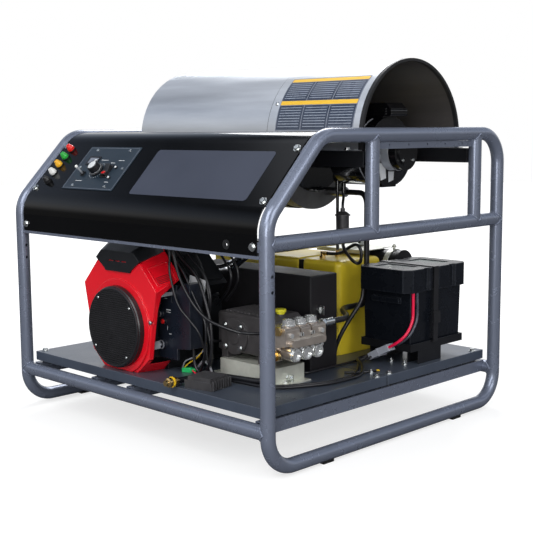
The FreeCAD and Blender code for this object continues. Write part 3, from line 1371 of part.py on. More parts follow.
case_body = body()
pad(case_body, "XZ_Plane", [("case_left", "case_bottom"), ("case_right - 14", "case_bottom"),
                            ("case_right", "case_bottom + 16"),
                            ("case_right", "case_top - 14"), ("case_right - 20", "case_top"),
                            ("case_left + 6", "case_top"),
                            ("case_left", "case_top - 8")], "case_depth")
round_edges(case_body, "6", lambda edge: True)
place(case_body, y="case_front + case_depth")
case_parts = [case_body, rod("cover_radius", "8", "pump_place", "case_front - 7", "pump_axis_height", "y"),
              rod("cover_radius * 0.45", "5", "pump_place", "case_front - 10", "pump_axis_height", "y"),
              rod("cover_radius - 4", "7", "pump_place", "case_front + case_depth - 1", "pump_axis_height",
                  "y")]
case_parts += [block("24", "case_depth", "case_bottom - deck_top - bracket_height + 8", x, "case_front",
                     "deck_top + bracket_height")
               for x in ("case_left + 16", "case_right - 44")]
case_parts += [block("5", "case_depth - 20", "6", f"case_left + 22 + {i} * 15", "case_front + 10",
                     "case_top - 2") for i in range(9)]
case_parts += [hexagon("6", "4", f"pump_place + {i} * 30", "case_front - 11", f"pump_axis_height + {j} * 30",
                       "y")
               for i in (-1, 1) for j in (-1, 1)]
case_parts.append(rod("12", "8", "case_right - 22", "case_front + 67.5", "case_top - 6"))
case_cuts = [rod("12.05", "160", "pump_place", "case_front + 20", "pump_axis_height", "y"),
             rod("8.05", "24", "case_right - 22", "case_front + 67.5", "case_top - 18")]
node("pump_crankcase", cut(fuse(*case_parts), *case_cuts))

oil = fuse(rod("oil_cap_radius", "8", "case_right - 22", "case_front + 67.5", "case_top + 8"),
           rod("11", "7", "case_right - 22", "case_front + 67.5", "case_top + 2.3"),
           rod("8", "20", "case_right - 22", "case_front + 67.5", "case_top - 14"))
node("oil_cap", oil)

# Pump head: manifold, three valve columns, valve caps, rail and bolts

ROWS = [f"plunger_middle + {i} * plunger_pitch" for i in (-1, 0, 1)]
bottom_block = body()
pad(bottom_block, "XZ_Plane", [("case_right", "pump_head_bottom + 6"), ("case_right + 6", "pump_head_bottom"),
                               ("pump_head_right - 46", "pump_head_bottom"),
                               ("pump_head_right - 34", "low_cap_height + 20"),
                               ("pump_head_right", "low_cap_height + 26"),
                               ("pump_head_right", "pump_head_top - 12"),
                               ("pump_head_right - 6", "pump_head_top - 6"),
                               ("case_right", "pump_head_top - 6")],
    "pump_head_depth")
round_edges(bottom_block, "2", runs_along(Vector(0, 1, 0)))
place(bottom_block, y="pump_head_front + pump_head_depth")
head_parts = [bottom_block]
for y in ROWS:
    head_parts += [rod("valve_cap_radius + 3", "pump_head_top - low_cap_height - 20", "top_cap_place", y,
                       "low_cap_height + 20"),
                   rod("valve_cap_radius + 2", "64", "pump_head_right - 62", y, "low_cap_height", "x")]
gaps = [block("26", "6", "80", "pump_head_right - 14", f"plunger_middle + {i} * plunger_pitch / 2 - 3",
              "low_cap_height + 45") for i in (-1, 1)]
rail = body()
pad(rail, "YZ_Plane", [("pump_head_front + 12", "low_cap_height + 22"),
                       ("pump_head_front + pump_head_depth - 12", "low_cap_height + 22"),
                       ("pump_head_front + pump_head_depth - 12", "low_cap_height + 42"),
                       ("pump_head_front + 12", "low_cap_height + 42")],
    "14")
round_edges(rail, "9", runs_along(Vector(1, 0, 0)))
place(rail, "pump_head_right - 1")
caps = []
for y in ROWS:
    top = cut(fuse(rod("valve_cap_radius", "valve_cap_height", "top_cap_place", y, "pump_head_top - 2"),
                   hexagon("valve_cap_radius + 1", "6", "top_cap_place", y, "pump_head_top")),
              rod("valve_cap_radius - 6", "8", "top_cap_place", y, "pump_head_top + valve_cap_height - 7"))
    low = cut(rod("valve_cap_radius", "12", "pump_head_right - 4", y, "low_cap_height", "x"),
              rod("valve_cap_radius - 5", "8", "pump_head_right + 3", y, "low_cap_height", "x"))
    caps += [top, low]
bolt_rows = [f"plunger_middle + {i} * plunger_pitch" for i in ("(-1.4)", "(-0.5)", "0.5", "1.4")]
heads = [hexagon("7", "8", "pump_head_right - 1", y, "low_cap_height + 54", "x") for y in bolt_rows]
heads += [hexagon("6", "26", "pump_head_right - 22", y, "low_cap_height + 16", "x") for y in bolt_rows]
plugs = [hexagon("13", "9", "pump_head_right - 24", "pump_head_front - 9.3", "low_cap_height + 66", "y"),
         rod("14", "10", "pump_head_right - 31", "pump_head_front - 10.3", "low_cap_height", "y")]
node("pump_head", cut(fuse(*head_parts, rail, *caps, *heads), *gaps))
brass.append(plugs[0])
inlet = fuse(plugs[1], rod("10", "16", "pump_head_right - 31", "pump_head_front - 24", "low_cap_height", "y"),
             rod("9", "30", "pump_head_right - 31", "pump_head_front - 20", "low_cap_height - 28", "z"))
brass.append(inlet)

bracket = cut(block("bracket_right - bracket_left", "bracket_depth", "bracket_height", "bracket_left",
                    "bracket_front", "deck_top"),
              block("bracket_right - bracket_left - 2 * bracket_sheet", "bracket_depth - 2 * bracket_sheet",
                    "bracket_height",
                    "bracket_left + bracket_sheet", "bracket_front + bracket_sheet",
                    "deck_top - bracket_sheet"))
soles = [block("26", "bracket_depth", "bracket_sheet", x, "bracket_front", "deck_top")
         for x in ("bracket_left - 26", "bracket_right")]
node("mounting_brackets", fuse(bracket, *soles), fuse(shield, fold), *stays)

# Battery tray on two risers, battery box with handle, lid, and the battery inside

tray = cut(block("tray_width", "tray_depth", "tray_lip + tray_sheet", "tray_right - tray_width",
                 "tray_front", "tray_floor"),
           block("tray_width - 2 * tray_sheet", "tray_depth - 2 * tray_sheet", "tray_lip + 5",
                 "tray_right - tray_width + tray_sheet",
                 "tray_front + tray_sheet", "tray_floor + tray_sheet"))
risers = [cut(block("40", "riser_depth", "tray_floor - deck_top", x, "riser_front", "deck_top"),
              block("34", "riser_depth", "tray_floor - deck_top - 3", f"{x} + 3", "riser_front", "deck_top"))
          for x in ("tray_right - 42", "tray_right - tray_width + 2")]
node("battery_tray", fuse(tray, *risers))


def drafted(kind, owner, width, depth, less, start, end):
    near = sketch(owner, "XY_Plane", start)
    outline(near, rectangle(f"{width} - {less}", f"{depth} - {less}"))
    far = sketch(owner, "XY_Plane", end)
    outline(far, rectangle(width, depth))
    made = owner.newObject("PartDesign::" + kind, "loft")
    made.Profile = near
    made.Sections = [far]
    made.Ruled = True
    doc.recompute()


tub = body()
drafted("AdditiveLoft", tub, "box_width", "box_depth", "box_draft", "0", "box_height")
drafted("SubtractiveLoft", tub, "box_width - 2 * box_wall", "box_depth - 2 * box_wall", "box_draft",
        "box_wall", "box_height + 0.01")
place(tub, box_x, box_y, box_bottom)
grips = [block("100", "12", "16", f"{box_x} - 50", y, f"{lid_bottom} - 34")
         for y in (f"{box_y} - box_depth / 2 - 10", f"{box_y} + box_depth / 2 - 2")]
node("battery_box", fuse(tub, *grips))

lid_body = body()
half_w, half_d = "lid_width / 2", "lid_depth / 2"
lid_right = [(half_w, f"-{half_d} + 24"), (half_w, f"-{half_d} + 76"), (f"{half_w} - 7", f"-{half_d} + 82"),
             (f"{half_w} - 7", f"-{half_d} + 98"), (half_w, f"-{half_d} + 104"), (half_w, "-34"),
             (f"{half_w} - 7", "-30"),
             (f"{half_w} - 7", "-6"), (half_w, "-2"), (half_w, "50"), (f"{half_w} - 7", "56"),
             (f"{half_w} - 7", "76"),
             (half_w, "82"), (half_w, f"{half_d} - 24"), (f"{half_w} - 20", half_d)]
lid_left = [(f"-({x})", y) for x, y in reversed(lid_right)]
front_edge = [(f"-({half_w} - 20)", f"-{half_d}"), (f"{half_w} - 20", f"-{half_d}")]
pad(lid_body, "XY_Plane", front_edge + lid_right + lid_left, "lid_height")
place(lid_body, box_x, box_y, lid_bottom)
lid_room = block("lid_width - 24", "lid_depth - 50", "lid_height - 8", f"{box_x} - lid_width / 2 + 12",
                 f"{box_y} - lid_depth / 2 + 25",
                 f"{lid_bottom} + 4")
lid_mouth = block("box_width - 8", "box_depth - 8", "20", f"{box_x} - box_width / 2 + 4",
                  f"{box_y} - box_depth / 2 + 4", f"{lid_bottom} - 5")
dents = [block("110", "70", "3", f"{box_x} - 55", y, f"{lid_top} - 2")
         for y in (f"{box_y} - 118", f"{box_y} + 40")]
node("battery_lid", cut(lid_body, lid_room, lid_mouth, *dents))

cell = body()
pad(cell, "XY_Plane", rectangle("box_width - 2 * box_wall - box_draft - 2 * battery_gap",
                                "box_depth - 20 - box_draft", box_x, box_y),
    "battery_height", offset=f"{box_bottom} + box_wall")
round_edges(cell, "4", runs_along(Vector(0, 0, 1)))
terminals = [rod("9", "14", f"{box_x} + 40", f"{box_y} {i} 80", f"{box_bottom} + box_wall + battery_height")
             for i in ("-", "+")]
node("battery", fuse(cell, *terminals))

# Plug between the battery leads and the engine's cables, leaning on the tray's front lip

plug_at = ("392", "tray_front - 25.3", "207.5")
plug = fuse(block("79", "32", "20", "-39.5", "-16", "-10"), block("3", "36", "24", "-1.5", "-18", "-12"))
node("battery_connector", place(together([plug]), *plug_at, (0, -1, 0), "28"))
doc.recompute()

# Voltage regulator: a finned block, turned a little on the deck

fins = [block("76", "3", "10", "-38", f"{i} * 7 - 1.5", "22") for i in range(-5, 6)]
regulator = fuse(block("90", "84", "22", "-45", "-42"), *fins, block("24", "10", "16", "-12", "41", "4"))
node("regulator", place(together([regulator]), "229", "75 - frame_half_depth", "deck_top", (0, 0, 1), "10"))

# Hoses and cables along their real routes


def hose(name, radius, points, bends):
    return shaped(hose_shape(name, radius, points, bends))


pressure_hose = hose("pressure hose", 8, [(384, -140.2, 325), (384, -20, 325), (268, 74, 325),
                                          (268, 196.5, 325),
                                          (268, 196.5, 661), (152.3, 196.5, 661)], [80, 80, 80, 80])
crimped = fuse(pressure_hose, rod("11", "44", "384", "-136", "325", "y"),
               hexagon("13", "12", "384", "-140.2", "325", "y"),
               rod("15.5", "34", "drum_right + coil_stub + fit_clearance", "196.5", "661", "x"))
fuel_line = hose("fuel supply", 4, [(252, 104, 523.7), (252, 104, 474), (200, 144.5, 474),
                                    (157.3, 144.5, 474)], [24, 24])
filter_line = hose("filter line", 3.5, [(252, 104, 620.3), (252, 104, 634.5), (238, 124.5, 650.5),
                                        (238, 124.5, 664.7)], [21, 21])
return_line = hose("fuel return", 4, [(214, 124.5, 664.7), (214, 124.5, 590), (137, 214.5, 540),
                                      (137, 214.5, 478.3)], [36, 36])
water_line = hose("inlet hose", 7, [(165, -469.7, 186.2), (165, -362, 186.2), (371, -318.5, 186.2),
                                    (371, -318.5, 229.7)], [42, 42])
cable_one = hose("cable one", 3, [(356.8, 106.2, 189), (330, 106.2, 175.5), (330, -150, 175.5),
                                  (-4.7, -150, 179)], [30, 30])
cable_two = hose("cable two", 3, [(355.4, 122.2, 188.7), (326, 122.2, 182.4), (326, 76, 182.4),
                                  (404, 20, 182.4), (461, -60, 175.6),
                                  (461, -190, 175.6), (392, -345, 175.6), (120, -352, 175.6),
                                  (96, -352, 245.5)],
                 [20, 30, 60, 80, 80, 60, 30])
lead = hose("battery lead", 3.8, [(479, 150, 384.2), (479, 150, 300), (478, 106.2, 253),
                                  (427.1, 106.2, 226)], [38, 38])
black_lead = hose("black lead", 3, [(479, 166, 384.2), (479, 166, 300), (478, 122.2, 253),
                                    (427.1, 122.2, 226)], [38, 38])
loom = hose("loom", 4, [(-196, -402, 720), (-190, -372, 691), (-60, -392, 630), (50, -392, 558),
                        (83, -392, 446),
                        (171, -392, 351), (250, -375, 326), (305, -345, 312), (312, -279.8, 308)],
            [20, 80, 80, 80, 80, 80, 60])
wire = hose("panel wire", 3.5, [(-243, -394.1, 713.7), (-236, -366, 686.5), (-60, -345, 640),
                                (40, -325.5, 552), (105, -325.5, 480),
                                (140, -325.5, 380), (129, -325.5, 262), (129, -279.3, 262)],
            [20, 60, 60, 60, 60, 36])
node("hoses", crimped, fuel_line, filter_line, return_line, water_line, cable_one, cable_two, lead,
     black_lead, loom, wire)

drain = [("0", "0"), ("9", "0"), ("9", "8"), ("12", "8"), ("12", "14"), ("10", "15"), ("10", "24"),
         ("13", "25"), ("13", "34"),
         ("8", "36"), ("8", "44"), ("0", "44")]
brass.append(place(turned(drain), "165", "-470", "deck_top + 14.2", (1, 0, 0), "90"))
node("brass_fittings", *brass)

# Bolts: deck, panel, plate, hood, and the guard's wing knob

def bolt(length, washer="1.6"):
    """A bolt about its own axis, its head above the origin and its shank below."""
    return fuse(hexagon("bolt_head_radius", "bolt_head_height", z=washer),
                rod("bolt_head_radius + 3", washer),
                rod("bolt_radius", length, z=f"-({length})"))


bolts = []
for side in SIDES:
    bolts += [place(bolt(f"deck_top - ({mount_base}) - 2"), f"{side}{mount_x}", y, "deck_top")
              for y in DECK_BOLTS]
    bolts += [on_slope(bolt("9"), f"{side}{bolt_side}", rise) for rise in ("panel_bolt_low",
                                                                           "panel_bolt_high")]
    bolts.append(place(bolt("9"), f"{side}{bolt_side}", "-frame_half_depth - panel_offset",
                       "panel_bolt_front", (1, 0, 0), "90"))
bolts += [place(bolt("2"), x, y, "beam_top + hood_sheet") for x in HOOD_BOLTS for y in hood_bolt_y]
screws = [fuse(rod("4.5", "2.4", x, y, "plate_sheet"), rod("bolt_radius / 2", "plate_sheet + 6", x, y, "-6"))
          for x, y in PLATE_SCREWS]
bolts.append(on_slope(together(screws), "plate_place", "plate_middle"))
bolts.append(fuse(rod("9", "8", "guard_right", "guard_front + 34", "deck_top + 174", "x"),
                  block("14", "4", "26", "guard_right + 6", "guard_front + 32", "deck_top + 161")))
node("bolts", *bolts)
doc.recompute()

# Checks and export

labels = [piece.Label for piece in nodes]
if len(set(labels)) != len(labels):
    raise ValueError("two sub-parts share a name")
for thing in doc.Objects:
    if "Invalid" in thing.State or "Error" in thing.State:
        raise ValueError(f"{thing.Label} did not build: {thing.State}")
for piece in nodes:
    shape = piece.Shape
    if shape.isNull() or not shape.isValid() or not shape.Solids:
        raise ValueError(f"{piece.Label} has no valid solid")
    shape.exportStep(f"parts/{piece.Label}.step")
print("sub-parts written:", len(nodes))
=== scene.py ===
from math import copysign, cos, pi, radians, sin, sqrt

import bmesh
import bpy
from mathutils import Matrix, Vector


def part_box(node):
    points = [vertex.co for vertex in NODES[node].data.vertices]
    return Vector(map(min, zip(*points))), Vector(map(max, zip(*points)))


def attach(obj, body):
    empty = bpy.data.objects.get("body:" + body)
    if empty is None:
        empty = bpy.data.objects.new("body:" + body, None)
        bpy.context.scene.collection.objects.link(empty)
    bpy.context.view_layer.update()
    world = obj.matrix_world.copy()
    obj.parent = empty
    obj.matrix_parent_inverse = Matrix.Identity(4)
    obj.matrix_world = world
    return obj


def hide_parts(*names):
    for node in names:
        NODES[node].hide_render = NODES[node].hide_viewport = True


bl_info = {
    "name": "Skid Pressure Washer",
    "version": (1, 0, 0),
    "blender": (4, 5, 0),
    "location": "View3D > Sidebar > Pressure Washer",
    "description": "Dresses the packed pressure washer with its finishes and small parts",
    "category": "Object",
}

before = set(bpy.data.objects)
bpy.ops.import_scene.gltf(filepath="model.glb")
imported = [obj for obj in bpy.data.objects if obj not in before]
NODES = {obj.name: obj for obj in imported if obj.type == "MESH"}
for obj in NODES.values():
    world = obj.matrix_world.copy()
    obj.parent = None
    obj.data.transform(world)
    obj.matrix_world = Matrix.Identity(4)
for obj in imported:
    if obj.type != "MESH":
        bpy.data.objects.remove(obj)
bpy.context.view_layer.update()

# Places that several pieces share, in metres
AXIS_Y = 0.1365
DRUM_Z = 0.787
HOOD_Z = 0.8206
SLOPE = radians(46)
SLOPE_FOOT = 0.6365
TUBE = 0.01905
HALF_WIDTH = 0.529
HALF_DEPTH = 0.4955
CRANK = Vector((-0.11, 0, 0.297))
POSTS = (-0.1015, 0.3745)
MID_RAIL = 0.58
TOP_RAIL = 0.836
CROSS_TUBE = 0.1176
HERE = Matrix.Identity(4)
UP, FRONT, BACK, RIGHT = (0, 0, 1), (0, -1, 0), (0, 1, 0), (1, 0, 0)

# Across and up the slope of the control panel: the thermostat knob's middle
KNOB = (-0.243, 0.126)

# How far the control panel's faces stand off the slope's own plane
PANEL_OUT = 0.01
PLATE_OUT = 0.012
DIAL_OUT = 0.013
KNOB_TOP = 0.039

# A print's thickness, and how far a thin sheet stands off the face that carries it
PRINT = 0.0003
GAP = 0.00005

# Faces that meet at a larger angle show a crease, and on some pieces a soft edge
CREASE = radians(40)
SOFT_ABOVE = radians(35)

# Points nearer to each other than this are one
SAME = 1e-6

# Limits in a finish: where its clouds reach their two tints and their two glosses, how far up a face
# has to look to hold dust, and how far an eased edge turns its face
CLOUD_TINT = (0.32, 0.68)
CLOUD_GLOSS = (0.3, 0.7)
GLOSSIEST = 0.02
LEVEL = (0.55, 1.0)
EDGE_TURN = (0.998, 0.9)
WHITE = (1.0, 1.0, 1.0, 1.0)
DUST = (0.3, 0.29, 0.27, 1.0)


# Finishes

def feed(tree, made, *feeds, **values):
    """Gives a node its inputs, in order or by name, as links or values, and its properties."""
    for key, value in (*values.items(), *enumerate(feeds)):
        place = key if isinstance(key, int) else key.replace("_", " ")
        if isinstance(place, str) and place not in made.inputs:
            setattr(made, key, value)
        elif isinstance(value, bpy.types.NodeSocket):
            tree.links.new(value, made.inputs[place])
        elif value is not None:
            made.inputs[place].default_value = value
    return made


def node(tree, kind, *feeds, **values):
    """Adds a node with its inputs and properties."""
    return feed(tree, tree.nodes.new(kind), *feeds, **values)


def maths(tree, operation, *feeds):
    return node(tree, "ShaderNodeMath", *feeds, operation=operation).outputs["Value"]


def vectors(tree, operation, *feeds):
    return node(tree, "ShaderNodeVectorMath", *feeds, operation=operation).outputs


def ranged(tree, value, start, end, low, high, kind="LINEAR"):
    """A step from one level to another, straight or smooth."""
    made = node(tree, "ShaderNodeMapRange", value, start, end, low, high, interpolation_type=kind)
    return made.outputs["Result"]


def toned(colour, factor):
    """A lighter or darker tone of a colour."""
    return tuple(min(1.0, c * factor) for c in colour[:3]) + (1.0,)


def ramp(tree, factor, stops):
    """A colour that follows a value through (place, colour) stops."""
    made = node(tree, "ShaderNodeValToRGB", factor)
    line = made.color_ramp
    while len(line.elements) < len(stops):
        line.elements.new(0.5)
    for element, (place, colour) in zip(line.elements, stops):
        element.position = place
        element.color = colour
    return made.outputs["Color"]


def blend(tree, factor, first, second, kind="FLOAT"):
    """Mixes two links, or a link and a value."""
    skipped, result = ([None] * 5, 2) if kind == "RGBA" else ([None], 0)
    return node(tree, "ShaderNodeMix", factor, *skipped, first, second, data_type=kind).outputs[result]


def zone(tree, spot, low=None, high=None, axis=None, radius=None):
    """One inside a box, or within a radius of a line along X, and nought outside it."""
    if radius:
        flat = vectors(tree, "MULTIPLY", spot, (0, 1, 1))["Vector"]
        return maths(tree, "LESS_THAN", vectors(tree, "DISTANCE", flat, (0, *axis))["Value"], radius)
    parts = node(tree, "ShaderNodeSeparateXYZ", spot).outputs
    x, y, z = (maths(tree, "COMPARE", part, (least + most) / 2, (most - least) / 2)
               for part, least, most in zip(parts, low, high))
    return maths(tree, "MULTIPLY", maths(tree, "MULTIPLY", x, y), z)


def finish(name, colour, roughness, metallic, mottle, scale, grain, grain_scale=900.0,
           stretch=(1.0, 1.0, 1.0), spread=0.06, coat=0.0, dust=0.0, specular=0.5, edge=0.0, wear=0.1,
           worn=(0.2, 0.21, 0.23), zones=()):
    """A surface whose colour, gloss and fine relief vary the way the real coat or casting does.

    Where an edge radius is given, sharp edges are eased by it and made a little paler, unevenly: this stands
    for wear, and on some finishes for a painted highlight along the edge.

    Each zone gives a place on the piece a colour, roughness and metallic value of its own."""
    made = bpy.data.materials.new(name)
    made.use_nodes = True
    made.diffuse_color = (*colour, 1.0)
    tree = made.node_tree
    spot = node(tree, "ShaderNodeTexCoord").outputs["Object"]
    mapped = node(tree, "ShaderNodeMapping", spot, Scale=stretch).outputs["Vector"]
    cloud = node(tree, "ShaderNodeTexNoise", mapped, Scale=scale, Detail=5.0, Roughness=0.62).outputs["Fac"]
    fine = node(tree, "ShaderNodeTexNoise", mapped, Scale=grain_scale, Detail=3.0).outputs["Fac"]

    def mottled(tone):
        tones = toned(tone, 1 - mottle), toned(tone, 1 + mottle)
        return ramp(tree, cloud, list(zip(CLOUD_TINT, tones)))

    def patches(amount, other):
        return blend(tree, maths(tree, "MULTIPLY", amount, cloud), tint, other, "RGBA")

    def facing():
        return node(tree, "ShaderNodeNewGeometry").outputs["Normal"]

    tint = mottled(colour)
    if dust:
        upward = node(tree, "ShaderNodeSeparateXYZ", facing()).outputs["Z"]
        tint = patches(ranged(tree, upward, *LEVEL, 0.0, dust), DUST)
    limits = max(GLOSSIEST, roughness - spread), min(1.0, roughness + spread)
    rough = ranged(tree, cloud, *CLOUD_GLOSS, *limits)
    metal = metallic
    for bounds, other, other_rough, other_metal in zones:
        inside = zone(tree, spot, **bounds)
        tint = blend(tree, inside, tint, mottled(other), "RGBA")
        rough = blend(tree, inside, rough, other_rough)
        metal = blend(tree, inside, metal, other_metal)
    eased = None
    if edge:
        eased = node(tree, "ShaderNodeBevel", edge, samples=4).outputs["Normal"]
        turn = vectors(tree, "DOT_PRODUCT", eased, facing())["Value"]
        # Paler edges: wear, and on some finishes a painted highlight
        tint = patches(ranged(tree, turn, *EDGE_TURN, 0.0, 2 * wear), (*worn, 1.0))
    relief = node(tree, "ShaderNodeBump", Strength=grain, Distance=0.001, Height=fine, Normal=eased)
    feed(tree, tree.nodes["Principled BSDF"], Base_Color=tint, Roughness=rough, Metallic=metal,
         Coat_Weight=coat, Coat_Roughness=0.06, Specular_IOR_Level=specular, Normal=relief.outputs["Normal"])
    return made


_made = {}


def look(name):
    """The named finish, made once."""
    if name not in _made:
        (colour, *columns), more = LOOKS[name]
        if isinstance(colour, str):
            group, setting = colour.split(".")
            colour = tuple(getattr(getattr(bpy.context.scene, group), setting))
        _made[name] = finish(name, colour, *columns, **more)
    return _made[name]


# Places with a look of their own on one piece: bounds, colour, roughness, metallic
COLD_END = (dict(low=(0, 0.315, 0.36), high=(0.3, 0.45, 0.4735)), (0.016, 0.016, 0.018), 0.42, 0.3)
FRONT_DENT = (dict(low=(0.334, 0.151, 0.446), high=(0.442, 0.219, 0.4502)), (0.006, 0.022, 0.02), 0.25, 0.0)
REAR_DENT = (dict(low=(0.334, 0.309, 0.446), high=(0.442, 0.377, 0.4502)), (0.008, 0.04, 0.03), 0.25, 0.0)
MOTOR_BAND = (dict(low=(0.405, 0, 0.6), high=(0.431, 0.3, 1)), (0.4, 0.43, 0.48), 0.3, 0.2)
HEAD_CAPS = [(dict(low=low, high=high), (0.76, 0.77, 0.76), 0.15, 0.75) for low, high in (
    ((0.33, -0.31, 0.3345), (0.42, -0.13, 0.36)),
    ((0.3995, -0.31, 0.22), (0.42, -0.13, 0.2795)),
    ((0.4022, -0.31, 0.3), (0.42, -0.13, 0.325)))]


def mix(*columns, **more):
    """A colour or a user's setting, roughness, metallic, mottle and its scale, grain, then what else."""
    return columns, more


def hood_steel(radius):
    """Brushed sheet whose face inside the arch is a darker brownish grey, as painted shade."""
    # Painted shade: the face inside the arch is darker
    inside = (dict(axis=(AXIS_Y, HOOD_Z), radius=radius), (0.085, 0.078, 0.076), 0.46, 0.35)
    return mix("washer_hood.metal", 0.4, 0.86, 0.14, 13, 0.05, stretch=(0.1, 1.0, 1.0), spread=0.08,
               zones=[inside])


